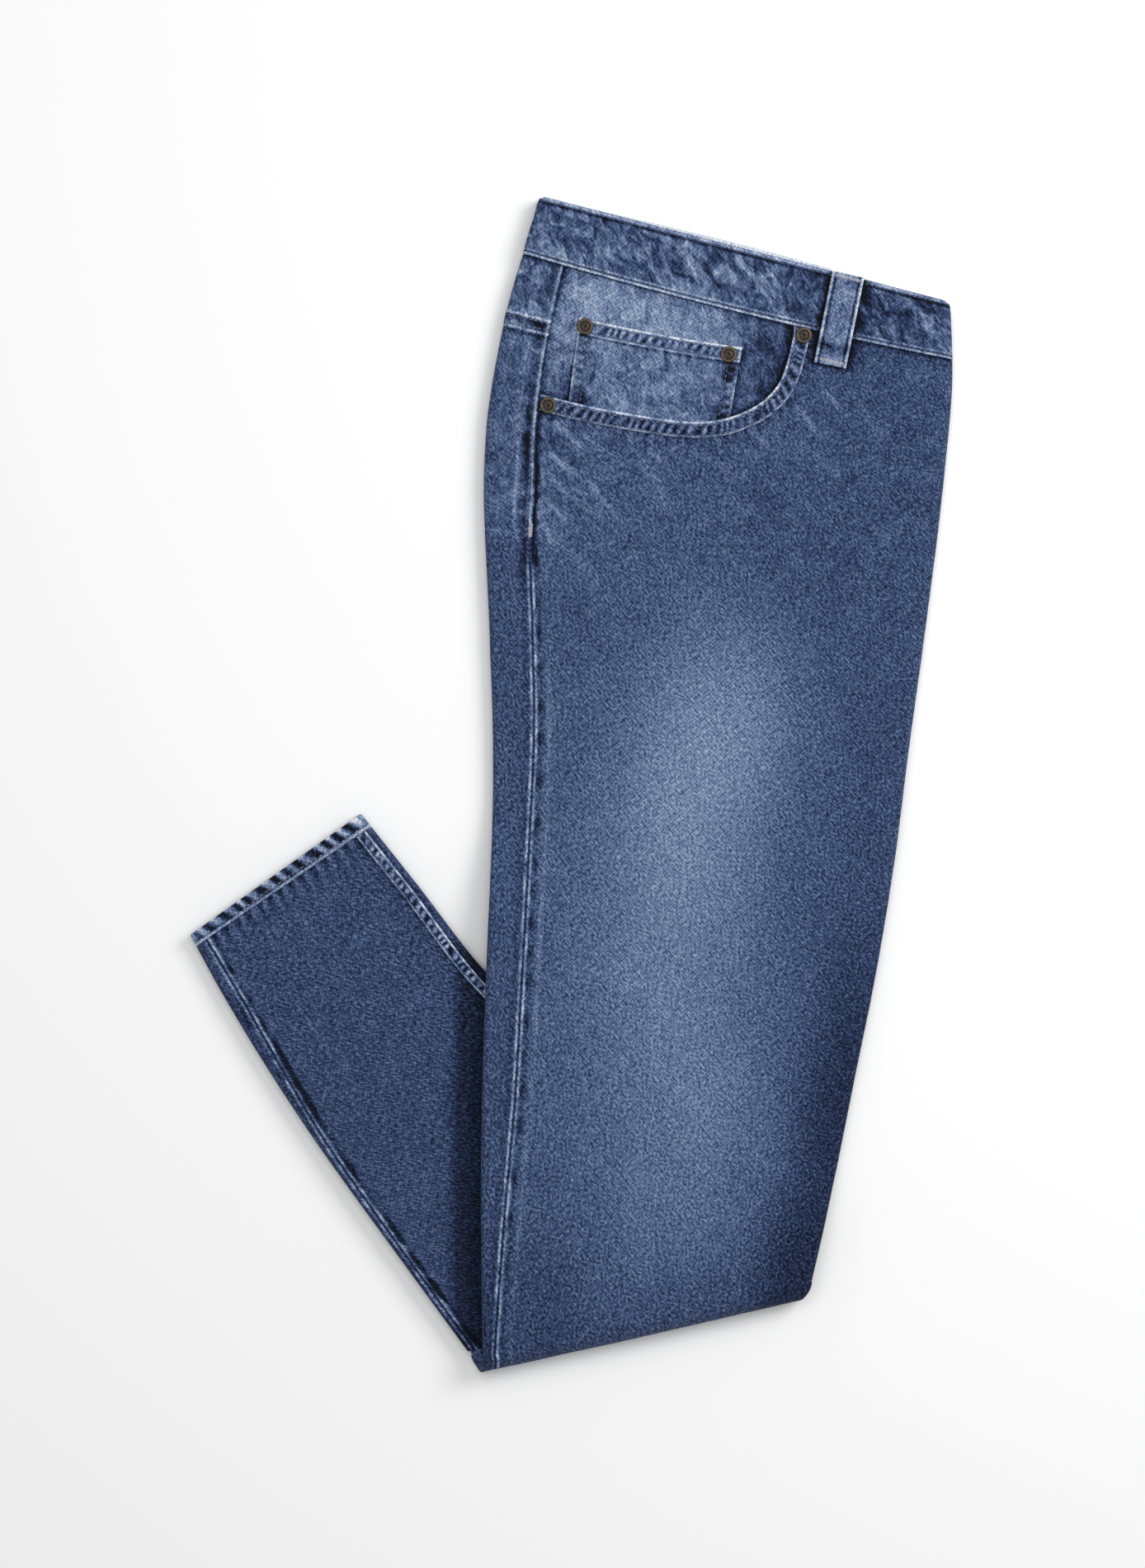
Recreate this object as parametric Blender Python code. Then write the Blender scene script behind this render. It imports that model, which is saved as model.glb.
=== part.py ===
"""Slim five-pocket jeans, folded in half down the middle, then folded under at the shins and laid flat.

The right leg lies on the left one, outer front up. The lower legs come out from beneath, up and to the left,
with the left leg's front on top. Sizes are in millimetres until a mesh is made. +Y points to the waist and
+Z up, and the origin is on the floor under the middle of the folded jeans.

The cloth follows one path of sections: down the upper stack from the waistband seam to the fold, round the
fold, and along the lower stack to the hem. In a section, u runs from its left edge to its right one, and w
from the inside of the fold outwards, so it points up in the upper stack and down in the lower one.
"""
import math

import bpy
from mathutils import Vector
from mathutils.bvhtree import BVHTree

MM = 0.001

# Cloth
GAP = 0.3
CLOTH = 1.2
SKIN = GAP + CLOTH
TRIM_CLOTH = 1.0

# Stacks of layers
STACK_AT_BAND = 8.6
STACK_AT_HIP = 8.2
STACK_AT_FOLD = 7.4
LOWER_TOP_AT_FOLD = 8.9
LOWER_TOP_AT_HEM = 7.4
FOLD_INNER_RADIUS = 1.5
FOLD_AXIS_HEIGHT = SKIN + STACK_AT_FOLD + FOLD_INNER_RADIUS
LIFT = FOLD_AXIS_HEIGHT + FOLD_INNER_RADIUS
LIFT_FULL_TO = 12.0
LIFT_NONE_FROM = 67.0
UPPER_CROWN = 1.2
LOWER_CROWN = 0.8

# Folded edges
TUBE_SLIT = 0.7
LIP_STEPS = 5
LIP_START_TILT = math.radians(8)
LIP_END = math.radians(50)
GROOVE_DEPTH = 0.6
GROOVE_IN_WHOLE_EDGE = 0.4
BARE_LIP = 0.7
FOLD_CORNER_INSET = 6.0

# Upper stack, from the waistband seam (0) to the fold's axis (1)
UPPER = (
    # row, along, left_x, left_y, side_seam_in, right_x, right_y
    ("waistband seam", 0.000, -29.8, 321.2, 25.9, 231.0, 256.8),
    ("yoke seam", 0.050, -39.5, 287.8, 28.1, 230.1, 228.8),
    ("pocket rivet", 0.138, -50.5, 229.4, 29.9, 225.2, 180.0),
    ("hip", 0.200, -53.5, 188.2, 30.3, 221.3, 145.6),
    ("seam tack", 0.252, -53.0, 153.6, 27.6, 217.5, 116.6),
    ("thigh", 0.340, -50.3, 95.0, 26.4, 211.0, 67.7),
    ("crotch", 0.430, -48.5, 35.1, 25.4, 204.3, 17.7),
    ("mid thigh", 0.540, -48.9, -38.1, 22.8, 196.1, -43.5),
    ("above knee", 0.660, -51.9, -117.9, 21.6, 185.6, -110.2),
    ("knee", 0.770, -54.5, -191.1, 20.1, 173.1, -171.4),
    ("calf", 0.880, -55.2, -264.3, 14.4, 160.8, -232.5),
    ("fold", 1.000, -53.9, -345.6, 7.2, 144.8, -300.7),
)

# Lower stack, from the fold's axis (0) to the hem's edge (1)
LOWER = (
    # row, along, left_x, left_y, outseam_in, inseam_in, right_x, right_y
    ("fold", 0.00, -61.2, -347.2, 4.5, 8.0, 144.8, -300.7),
    ("shin", 0.20, -98.1, -296.8, 4.5, 8.0, 87.4, -246.6),
    ("low shin", 0.50, -152.0, -222.3, 5.2, 7.0, 1.7, -165.4),
    ("clear of thigh", 0.69, -184.2, -173.8, 7.7, 5.4, -52.6, -113.9),
    ("ankle", 0.86, -211.2, -129.3, 8.9, 4.4, -93.9, -61.3),
    ("hem edge", 1.00, -231.8, -91.8, 7.2, 4.2, -128.2, -18.2),
)

UPPER_OUTSEAM_IN = 6.0
UPPER_INSEAM_IN = 8.0
LOWER_SIDE_SEAM_IN = 8.0
YOKE_SEAM_AT = 0.0624
TOP_GAP_AT = 0.0009
LEAST_STEP = 0.004
UPPER_LENGTH = 650.0
BAND_SEAM_SAG = 3.3
SAG_GONE_AT = 0.25
SEAM_TACK_AT = 0.252
TUBES_PART_FROM = 0.34
TUBES_PART_TO = 0.50
SEAM_WELT = 0.5
WELT_WIDTH = 12.0
WELT_END = 0.03
HEM_DEPTH = 9.0
LOWER_LENGTH = 350.0
HEM_SEAM_AT = 1.0 - HEM_DEPTH / LOWER_LENGTH
HEM_GAP_AT = HEM_SEAM_AT - GAP / LOWER_LENGTH
LOWER_WALLS_FROM = 0.012
FELL_FROM = 0.62
FELL_WIDTH = 6.3
LEAST_SEAM_IN = 4.4

# Where the sections are taken
UPPER_STATIONS = [0.0, 0.03, YOKE_SEAM_AT] + [0.1 + 0.04 * k for k in range(23)]
FOLD_STATIONS = [22.5 * k for k in range(9)]
LOWER_STATIONS = [LOWER_WALLS_FROM, 0.03, 0.08, 0.16, 0.25, 0.35, 0.45, 0.54, 0.62, 0.69, 0.76, 0.84, 0.91]

# Columns of a section
BACK_COLUMNS = 2
FRONT_COLUMNS = 11
LOWER_COLUMNS = 6

# Waistband: one ribbon, folded into four layers
BAND_CLOTH = 2.6
BAND_LAYER = 3.0
BAND_FOLD_STEPS = 6
BAND_WRAP_STEPS = 8
BAND_COLUMNS = 9
BAND_TOP_LEFT = Vector((-19.8, 356.2))
BAND_TOP_RIGHT = Vector((229.6, 291.8))
BAND_BACK_RISE = 2.2
BAND_ROWS = (
    # height, inset
    (0.00, 0.0),
    (0.45, 0.0),
    (0.90, 0.2),
    (1.00, 2.0),
)

# Front pocket, opening edge from the side seam round to the waistband
POCKET_EDGE = (
    # place, x, y
    ("past the side seam", -31.0, 239.5),
    ("side rivet", -13.3, 233.8),
    ("low left", 22.8, 225.5),
    ("bottom", 73.8, 218.5),
    ("turn", 104.3, 224.5),
    ("upturn", 124.8, 240.8),
    ("front", 133.8, 267.8),
    ("band seam", 134.3, 279.0),
    ("past the band seam", 134.3, 296.0),
)
POCKET_EDGE_STEPS = 4
FACING_BEYOND_EDGE = 7.0
FACING_TO = 0.18
GUIDE_MARGIN = 40.0
GUIDE_HEIGHTS = (-5.0, 40.0)
POCKET_HEM = 9.0
PANEL_RAISE = GAP + TRIM_CLOTH
RAISE_FULL_TO = 0.17
RAISE_NONE_FROM = 0.26
RAISE_FULL_SHARE = 0.69
RAISE_NONE_SHARE = 0.86
POCKET_MEETS_SIDE_AT = 0.1205
HEM_MEETS_SIDE_AT = 0.1342
HEM_COLUMNS = 3

# Coin pocket, before the pocket's edge hides its lower end
COIN_TOP_LEFT = Vector((4.6, 281.9))
COIN_TOP_RIGHT = Vector((102.8, 263.8))
COIN_LOW_LEFT = Vector((-2.6, 226.0))
COIN_LOW_RIGHT = Vector((93.5, 211.0))
COIN_HEM = 9.0
COIN_HEM_RAISE = 0.6
COIN_HEM_END = 0.01
COIN_SAG = 0.012
COIN_CLEARANCE = 0.4

# Belt loop
LOOP_TOP = Vector((167.2, 307.6))
LOOP_FOOT = Vector((156.2, 253.4))
LOOP_WIDTH = 20.0
LOOP_CLOTH = 1.8
LOOP_BOW = 0.9
LOOP_STEPS = 12

# Rivets
RIVET_RADIUS = 5.0
RIVET_SIDES = 20
RIVETS = (
    # name, x, y
    ("rivet_coin_pocket_left", 7.8, 276.8),
    ("rivet_coin_pocket_right", 94.8, 259.8),
    ("rivet_pocket_side", -14.6, 229.0),
    ("rivet_pocket_front", 140.3, 271.3),
)
RIVET_PROFILE = (
    # radius, height
    (5.0, 0.00),
    (5.0, 0.55),
    (4.6, 0.95),
    (3.5, 1.10),
    (2.9, 0.80),
    (2.0, 0.85),
    (1.5, 1.45),
    (0.6, 1.50),
)

# Hems
HEM_TOTAL = 9.4
HEM_SPACE = 0.3
HEM_CLOTH = 1.9
HEM_END_STEPS = 6
ROPING_WAVES = 13
ROPING_DEPTH = 0.35

# Colours: red, green, blue, then roughness and metallic
INDIGO = (0.075, 0.120, 0.235, 0.9, 0.0)
INDIGO_DARK = (0.040, 0.065, 0.140, 0.9, 0.0)
INDIGO_FADED = (0.135, 0.200, 0.330, 0.9, 0.0)
ANTIQUE_BRASS = (0.270, 0.200, 0.120, 0.45, 0.9)


def clear_scene():
    for thing in list(bpy.data.objects):
        bpy.data.objects.remove(thing, do_unlink=True)


def mix(a, b, share):
    return a + (b - a) * share


def ease(value, start, end):
    """0 before start, 1 after end, and a soft curve between them."""
    share = min(max((value - start) / (end - start), 0.0), 1.0)
    return share * share * (3.0 - 2.0 * share)


def hermite(a, b, slope_a, slope_b, span, share):
    s2 = share * share
    s3 = s2 * share
    return (
        (2 * s3 - 3 * s2 + 1) * a
        + (s3 - 2 * s2 + share) * span * slope_a
        + (3 * s2 - 2 * s3) * b
        + (s3 - s2) * span * slope_b
    )


def track(table, column, along):
    """The value of one column of a table of rows, on a smooth curve through the rows."""
    places = [row[1] for row in table]
    values = [row[column] for row in table]
    last = len(places) - 1
    k = max(i for i in range(last) if places[i] <= along or i == 0)

    def slope(i):
        before = max(i - 1, 0)
        after = min(i + 1, last)
        return (values[after] - values[before]) / (places[after] - places[before])

    span = places[k + 1] - places[k]
    share = (along - places[k]) / span
    return hermite(values[k], values[k + 1], slope(k), slope(k + 1), span, share)


LEG_EDGE_START = Vector((LOWER[-1][6], LOWER[-1][7]))
LEG_EDGE_END = Vector((LOWER[0][6], LOWER[0][7]))


def lift(x, y):
    """How far the lower legs hold the upper stack up, which fades with distance past their edge."""
    along = (LEG_EDGE_END - LEG_EDGE_START).normalized()
    away = Vector((x, y)) - LEG_EDGE_START
    past = along.x * away.y - along.y * away.x
    return LIFT * (1.0 - ease(past, LIFT_FULL_TO, LIFT_NONE_FROM))


class Section:
    """One section through the stack: its place, width and thickness, and the shape of its edges."""

    def __init__(self, zone, along):
        self.zone = zone
        self.along = along
        self.turn = 0.0
        self.sag = 0.0
        self.part = 1.0
        self.bare_in = BARE_LIP
        self.bare_out = 0.0
        self.crown_in = 0.0
        self.crown_out = UPPER_CROWN
        self.outseam_in = UPPER_OUTSEAM_IN
        self.inseam_in = UPPER_INSEAM_IN
        getattr(self, "shape_" + zone)()
        across = self.right - self.left
        self.width = across.length
        self.across = across / self.width
        self.outward = Vector((self.across.y, -self.across.x))

    def shape_upper(self):
        t = self.along
        self.left = Vector((track(UPPER, 2, t), track(UPPER, 3, t)))
        self.right = Vector((track(UPPER, 5, t), track(UPPER, 6, t)))
        self.side_seam_in = track(UPPER, 4, t)
        by_hip = mix(STACK_AT_BAND, STACK_AT_HIP, ease(t, 0.0, 0.2))
        self.stack = mix(by_hip, STACK_AT_FOLD, ease(t, 0.2, 1.0))
        self.sag = BAND_SEAM_SAG * (1.0 - ease(t, 0.0, SAG_GONE_AT))
        self.part = ease(t, TUBES_PART_FROM, TUBES_PART_TO)

    def shape_fold(self):
        self.turn = math.radians(self.along)
        share = self.along / 180.0
        slid = Vector(LOWER[0][2:4])
        start = Vector(UPPER[-1][2:4])
        self.left = start.lerp(slid, ease(share, 0.0, 1.0))
        self.right = Vector(UPPER[-1][5:7])
        self.right -= (self.right - start).normalized() * FOLD_CORNER_INSET * math.sin(self.turn) ** 2
        self.side_seam_in = UPPER[-1][4] + share
        self.stack = STACK_AT_FOLD
        self.crown_out = UPPER_CROWN * (1.0 - ease(share, 0.0, 0.9))
        self.outseam_in = mix(UPPER_OUTSEAM_IN, LOWER[0][4], share)

    def shape_lower(self):
        v = self.along
        self.turn = math.pi
        self.left = Vector((track(LOWER, 2, v), track(LOWER, 3, v)))
        self.right = Vector((track(LOWER, 6, v), track(LOWER, 7, v)))
        self.side_seam_in = LOWER_SIDE_SEAM_IN
        self.top = mix(LOWER_TOP_AT_FOLD, LOWER_TOP_AT_HEM, ease(v, 0.55, 1.0))
        self.stack = self.top
        self.crown_out = 0.0
        self.crown_in = LOWER_CROWN * ease(v, 0.05, 0.4) * (1.0 - ease(v, 0.85, 1.0))
        self.outseam_in = max(track(LOWER, 4, v), LEAST_SEAM_IN)
        self.inseam_in = max(track(LOWER, 5, v), LEAST_SEAM_IN)
        self.bare_in = 0.0
        self.bare_out = BARE_LIP

    def place(self, u, w):
        """The point at u and w of this section, in space."""
        share = min(max(u / self.width, 0.0), 1.0)
        spot = self.left + self.across * u + self.outward * self.sag * 4.0 * share * (1.0 - share)
        if self.zone == "upper":
            return Vector((spot.x, spot.y, w + lift(spot.x, spot.y)))
        if self.zone == "lower":
            return Vector((spot.x, spot.y, self.top - w))
        reach = FOLD_INNER_RADIUS + w
        spot += self.outward * reach * math.sin(self.turn)
        return Vector((spot.x, spot.y, FOLD_AXIS_HEIGHT + reach * math.cos(self.turn)))

    def lip(self, side, outer):
        """Points of one leg tube's folded edge, from the stack's flat side to the slit."""
        radius = (self.stack - TUBE_SLIT) / 4.0
        whole = self.stack / 2.0
        part = self.part if side == "right" else 1.0
        middle = self.stack - radius if outer else radius
        bare = self.bare_out if outer else self.bare_in
        points = []
        for k in range(LIP_STEPS + 1):
            share = k / LIP_STEPS
            slope = math.pi / 2 - share * (math.pi / 2 + LIP_END)
            wide = math.pi / 2 - share * (math.pi / 2 - LIP_START_TILT)
            tube = Vector((math.cos(slope), math.sin(slope)))
            round_edge = Vector((math.cos(wide), math.sin(wide)))
            up = 1.0 if outer else -1.0
            tube.y *= up
            round_edge.y *= up
            two = Vector((-SKIN - radius, middle)) + tube * radius
            one = Vector((-SKIN - whole, whole)) + round_edge * whole
            spot = one.lerp(two, part)
            normal = round_edge.lerp(tube, part).normalized()
            spot.x += bare * max(normal.x, 0.0)
            points.append((spot, normal))
        if side == "left":
            return [(Vector((-p.x, p.y)), Vector((-n.x, n.y))) for p, n in points]
        return [(Vector((self.width + p.x, p.y)), n) for p, n in points]

    def groove(self, side):
        radius = (self.stack - TUBE_SLIT) / 4.0
        whole = self.stack / 2.0
        part = self.part if side == "right" else 1.0
        inset = SKIN + mix(GROOVE_IN_WHOLE_EDGE, radius + GROOVE_DEPTH, part)
        middle = whole + GROOVE_IN_WHOLE_EDGE * (1.0 - part)
        u = inset if side == "left" else self.width - inset
        return (Vector((u, middle)), Vector((0.0, 1.0)))

    def flat(self, outer, places):
        """Points of the stack's outer or inner face at the given u, with its soft crown."""
        low = self.lip("left", outer)[0][0].x
        high = self.lip("right", outer)[0][0].x
        crown = self.crown_out if outer else self.crown_in
        points = []
        for u in places:
            bulge = crown * math.sin(math.pi * min(max((u - low) / (high - low), 0.0), 1.0))
            w = self.stack + bulge if outer else -bulge
            points.append((Vector((u, w)), Vector((0.0, 1.0 if outer else -1.0))))
        return points

    def outer_places(self):
        low = self.lip("left", True)[0][0].x
        high = self.lip("right", True)[0][0].x
        seam = self.side_seam_in
        places = [mix(low, seam, (k + 1) / (BACK_COLUMNS + 1)) for k in range(BACK_COLUMNS)]
        places += [seam - GAP / 2, seam + GAP / 2]
        places += [mix(seam, high, (k + 1) / (FRONT_COLUMNS + 1)) for k in range(FRONT_COLUMNS)]
        return places

    def inner_places(self):
        first = self.width - self.inseam_in
        fell = first - FELL_WIDTH
        last = self.outseam_in
        places = [first + GAP / 2, first - GAP / 2, fell]
        places += [mix(fell, last, (k + 1) / (LOWER_COLUMNS + 1)) for k in range(LOWER_COLUMNS)]
        return places + [last + GAP / 2, last - GAP / 2]

    def profile(self):
        """All points round the section, with their normals."""
        points = [self.groove("left")]
        points += reversed(self.lip("left", True))
        points += self.flat(True, self.outer_places())
        points += self.lip("right", True)
        points.append(self.groove("right"))
        points += reversed(self.lip("right", False))
        points += self.flat(False, self.inner_places())
        points += self.lip("left", False)
        return points


# Column numbers in a section's profile
LEFT_LIP_END = 1
BACK_AT_SIDE_SEAM = LEFT_LIP_END + LIP_STEPS + BACK_COLUMNS + 1
FRONT_AT_SIDE_SEAM = BACK_AT_SIDE_SEAM + 1
RIGHT_LIP_END = FRONT_AT_SIDE_SEAM + FRONT_COLUMNS + LIP_STEPS + 1
INNER_RIGHT_LIP_END = RIGHT_LIP_END + 2
BACK_AT_INSEAM = INNER_RIGHT_LIP_END + LIP_STEPS + 1
FRONT_AT_INSEAM = BACK_AT_INSEAM + 1
FELL_EDGE = FRONT_AT_INSEAM + 1
FRONT_AT_OUTSEAM = FELL_EDGE + LOWER_COLUMNS + 1
BACK_AT_OUTSEAM = FRONT_AT_OUTSEAM + 1
INNER_LEFT_LIP_END = BACK_AT_OUTSEAM + LIP_STEPS + 1


def material(name, look):
    made = bpy.data.materials.get(name)
    if made:
        return made
    made = bpy.data.materials.new(name)
    made.use_nodes = True
    shader = made.node_tree.nodes["Principled BSDF"]
    shader.inputs["Base Color"].default_value = (look[0], look[1], look[2], 1.0)
    shader.inputs["Roughness"].default_value = look[3]
    shader.inputs["Metallic"].default_value = look[4]
    made.diffuse_color = (look[0], look[1], look[2], 1.0)
    return made


def volume(points, faces):
    total = 0.0
    for face in faces:
        for k in range(1, len(face) - 1):
            total += points[face[0]].dot(points[face[k]].cross(points[face[k + 1]]))
    return total / 6.0


def solid(name, points, faces, look, smooth_angle=50.0):
    """One closed body from points in millimetres, with its faces turned outwards."""
    if volume(points, faces) < 0:
        faces = [tuple(reversed(face)) for face in faces]
    mesh = bpy.data.meshes.new(name)
    mesh.from_pydata([p * MM for p in points], [], faces)
    mesh.update()
    mesh.shade_smooth()
    mesh.set_sharp_from_angle(angle=math.radians(smooth_angle))
    thing = bpy.data.objects.new(name, mesh)
    bpy.context.collection.objects.link(thing)
    mesh.materials.append(material(look[0], look[1]))
    return thing


def sheet_faces(rows, columns, start, closed=False):
    """Triangles of a grid of points, every square cut the same way."""
    faces = []
    for i in range(rows - 1):
        for j in range(columns if closed else columns - 1):
            a = start + i * columns + j
            b = start + i * columns + (j + 1) % columns
            c = b + columns
            d = a + columns
            faces.append((a, b, c))
            faces.append((a, c, d))
    return faces


def edge_faces(first, second):
    """Triangles between two chains of points that run side by side."""
    faces = []
    for k in range(len(first) - 1):
        faces.append((first[k], second[k], second[k + 1]))
        faces.append((first[k], second[k + 1], first[k + 1]))
    return faces


def cloth(name, outer, inner, look, closed=False):
    """A wall of cloth between two grids of points. A closed one goes round, and is open at its two ends."""
    rows = len(outer)
    columns = len(outer[0])
    size = rows * columns
    points = [p for row in outer for p in row] + [p for row in inner for p in row]
    faces = sheet_faces(rows, columns, 0, closed)
    faces += [tuple(reversed(face)) for face in sheet_faces(rows, columns, size, closed)]

    def chain(places):
        return [(i * columns + j % columns) for i, j in places]

    turn = columns + 1 if closed else columns
    borders = [chain([(0, j) for j in range(turn)]), chain([(rows - 1, j) for j in reversed(range(turn))])]
    if not closed:
        borders.append(chain([(i, columns - 1) for i in range(rows)]))
        borders.append(chain([(i, 0) for i in reversed(range(rows))]))
    for border in borders:
        faces += edge_faces(border, [size + k for k in border])
    return solid(name, points, faces, look)


def upper_sections(start, end):
    """Sections of the upper stack from start to end, its own ends included, then round the fold."""
    inside = [t for t in UPPER_STATIONS if start + LEAST_STEP < t < end - LEAST_STEP]
    return [Section("upper", t) for t in [start] + inside + [end]]


def fold_sections():
    return [Section("fold", angle) for angle in FOLD_STATIONS[1:]]


def lower_sections(start, end):
    inside = [v for v in LOWER_STATIONS if start + LEAST_STEP < v < end - LEAST_STEP]
    return [Section("lower", v) for v in [start] + inside + [end]]


def grid(sections, first, last, offset):
    """Points of the given columns of each section, moved out from the core by offset(section, u)."""
    rows = []
    for section in sections:
        row = []
        for spot, normal in section.profile()[first:last + 1]:
            moved = spot + normal * offset(section, spot.x)
            row.append(section.place(moved.x, moved.y))
        rows.append(row)
    return rows


def raised(section, u):
    """How far the front panel is held up by the pocket facing under it."""
    if section.zone != "upper":
        return 0.0
    down = 1.0 - ease(section.along, RAISE_FULL_TO, RAISE_NONE_FROM)
    over = 1.0 - ease(u / section.width, RAISE_FULL_SHARE, RAISE_NONE_SHARE)
    return PANEL_RAISE * down * over


def side_welt(section, u):
    """The side seam's turned edges, which thicken the back panel beside it as far down as the tack."""
    if section.zone != "upper":
        return 0.0
    near = ease(u, section.side_seam_in - WELT_WIDTH, section.side_seam_in)
    down = 1.0 - ease(section.along, SEAM_TACK_AT, SEAM_TACK_AT + WELT_END)
    return SEAM_WELT * near * down


def end_faces(section, start):
    """Triangles that close the core at a section: fans from its two slits, and a zip between its faces."""
    places = [p.x for p, _ in section.profile()]
    left = 0
    right = RIGHT_LIP_END + 1
    top = LEFT_LIP_END + LIP_STEPS + 1
    top_end = RIGHT_LIP_END - LIP_STEPS - 1
    low = BACK_AT_OUTSEAM
    low_end = BACK_AT_INSEAM
    faces = [(left, k, k + 1) for k in range(LEFT_LIP_END, top)]
    faces += [(left, k, k + 1) for k in range(low, INNER_LEFT_LIP_END)]
    faces += [(right, k, k + 1) for k in range(top_end, RIGHT_LIP_END)]
    faces += [(right, k, k + 1) for k in range(INNER_RIGHT_LIP_END, low_end)]
    faces += [(left, top, low), (top_end, right, low_end)]
    while top < top_end or low > low_end:
        if low == low_end or (top < top_end and places[top + 1] <= places[low - 1]):
            faces.append((top, top + 1, low))
            top += 1
        else:
            faces.append((top, low - 1, low))
            low -= 1
    return [tuple(start + k for k in face) for face in faces]


def make_core():
    """The hidden layers as one rounded solid, with a slit between the two legs along its edges."""
    sections = upper_sections(TOP_GAP_AT, 1.0) + fold_sections()
    sections += lower_sections(LOWER_WALLS_FROM, HEM_GAP_AT)
    rows = [[s.place(p.x, p.y) for p, _ in s.profile()] for s in sections]
    columns = len(rows[0])
    points = [p for row in rows for p in row]
    faces = sheet_faces(len(rows), columns, 0, closed=True)
    faces += [tuple(reversed(face)) for face in end_faces(sections[0], 0)]
    faces += end_faces(sections[-1], (len(rows) - 1) * columns)
    return solid("folded_inner_layers", points, faces, ("denim_inner", INDIGO_DARK))


def wall(name, sections, first, last, inner, outer, look):
    return cloth(name, grid(sections, first, last, outer), grid(sections, first, last, inner), look)


def make_upper_panels():
    yoke_gap = GAP / 2 / UPPER_LENGTH
    to_fold = upper_sections(YOKE_SEAM_AT + yoke_gap, 1.0) + fold_sections()
    yoke = upper_sections(TOP_GAP_AT, YOKE_SEAM_AT - yoke_gap)
    whole = upper_sections(TOP_GAP_AT, 1.0) + fold_sections()

    def seam_side(section, u):
        return SKIN + side_welt(section, u)

    look = ("denim", INDIGO)
    wall("right_back_yoke", yoke, LEFT_LIP_END, BACK_AT_SIDE_SEAM, lambda s, u: GAP, seam_side, look)
    wall("right_back_panel", to_fold, LEFT_LIP_END, BACK_AT_SIDE_SEAM, lambda s, u: GAP, seam_side, look)
    return wall(
        "right_front_panel",
        whole,
        FRONT_AT_SIDE_SEAM,
        RIGHT_LIP_END,
        lambda s, u: GAP + raised(s, u),
        lambda s, u: SKIN + raised(s, u),
        look,
    )


def make_lower_panels():
    """The left leg's front and the strips of its back that wrap round the lower leg's two edges."""
    sections = lower_sections(LOWER_WALLS_FROM, HEM_GAP_AT)
    near_hem = lower_sections(FELL_FROM, HEM_GAP_AT)
    look = ("denim", INDIGO)

    def under(s, u):
        return GAP

    def over(s, u):
        return SKIN

    wall("left_back_panel_inseam", sections, INNER_RIGHT_LIP_END, BACK_AT_INSEAM, under, over, look)
    wall("left_front_panel", sections, FRONT_AT_INSEAM, FRONT_AT_OUTSEAM, under, over, look)
    wall("left_back_panel_outseam", sections, BACK_AT_OUTSEAM, INNER_LEFT_LIP_END, under, over, look)
    wall(
        "inseam_fell",
        near_hem,
        FRONT_AT_INSEAM,
        FELL_EDGE,
        lambda s, u: SKIN + GAP,
        lambda s, u: SKIN + GAP + TRIM_CLOTH,
        look,
    )


def pocket_edge(beyond=0.0):
    """The pocket's opening edge as a smooth line, moved away from the opening by beyond."""
    spots = [Vector(row[1:3]) for row in POCKET_EDGE]
    line = []
    for k in range(1, len(spots) - 2):
        for step in range(POCKET_EDGE_STEPS):
            share = step / POCKET_EDGE_STEPS
            before = (spots[k + 1] - spots[k - 1]) / 2
            after = (spots[k + 2] - spots[k]) / 2
            line.append(hermite(spots[k], spots[k + 1], before, after, 1.0, share))
    line = [spots[0]] + line + [spots[-2], spots[-1]]
    moved = []
    for k, spot in enumerate(line):
        way = line[min(k + 1, len(line) - 1)] - line[max(k - 1, 0)]
        way.normalize()
        moved.append(spot + Vector((way.y, -way.x)) * beyond)
    return moved


def prism(name, outline, low, high):
    """A guide that cuts: an outline in plan, extruded, and left out of the model."""
    count = len(outline)
    points = [Vector((p.x, p.y, low)) for p in outline] + [Vector((p.x, p.y, high)) for p in outline]
    faces = [tuple(range(count)), tuple(range(count, 2 * count))[::-1]]
    for k in range(count):
        after = (k + 1) % count
        faces.append((k, k + count, after + count, after))
    guide = solid(name, points, faces, ("guide", INDIGO))
    guide.hide_render = True
    guide.display_type = "WIRE"
    return guide


def pocket_prism(name, beyond):
    """The region inside the pocket's edge, up past the waistband seam and out past the side seam."""
    edge = pocket_edge(beyond)
    far_left = min(p.x for p in edge)
    top = max(p.y for p in edge) + GUIDE_MARGIN
    return prism(name, edge + [Vector((edge[-1].x, top)), Vector((far_left, top))], *GUIDE_HEIGHTS)


def cut(thing, guide, operation):
    change = thing.modifiers.new(operation.lower(), "BOOLEAN")
    change.operation = operation
    change.solver = "EXACT"
    change.object = guide


def heights(*things):
    """A function that gives the height of the highest of these surfaces over a place in plan."""
    trees = []
    for thing in things:
        corners = [v.co.copy() for v in thing.data.vertices]
        trees.append(BVHTree.FromPolygons(corners, [tuple(f.vertices) for f in thing.data.polygons]))

    def height(x, y):
        highest = 0.0
        for tree in trees:
            hit = tree.ray_cast(Vector((x * MM, y * MM, 0.1)), Vector((0, 0, -1)))[0]
            if hit:
                highest = max(highest, hit.z / MM)
        return highest

    return height


def patch(name, plan, height, under, over, look):
    """Cloth that lies on a surface: rows of places in plan, between two heights above that surface."""
    bases = [[(p, height(p.x, p.y)) for p in row] for row in plan]
    outer = []
    for i, row in enumerate(bases):
        outer.append([Vector((p.x, p.y, z + over(i, j))) for j, (p, z) in enumerate(row)])
    inner = [[Vector((p.x, p.y, z + under)) for p, z in row] for row in bases]
    return cloth(name, outer, inner, look)


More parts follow.
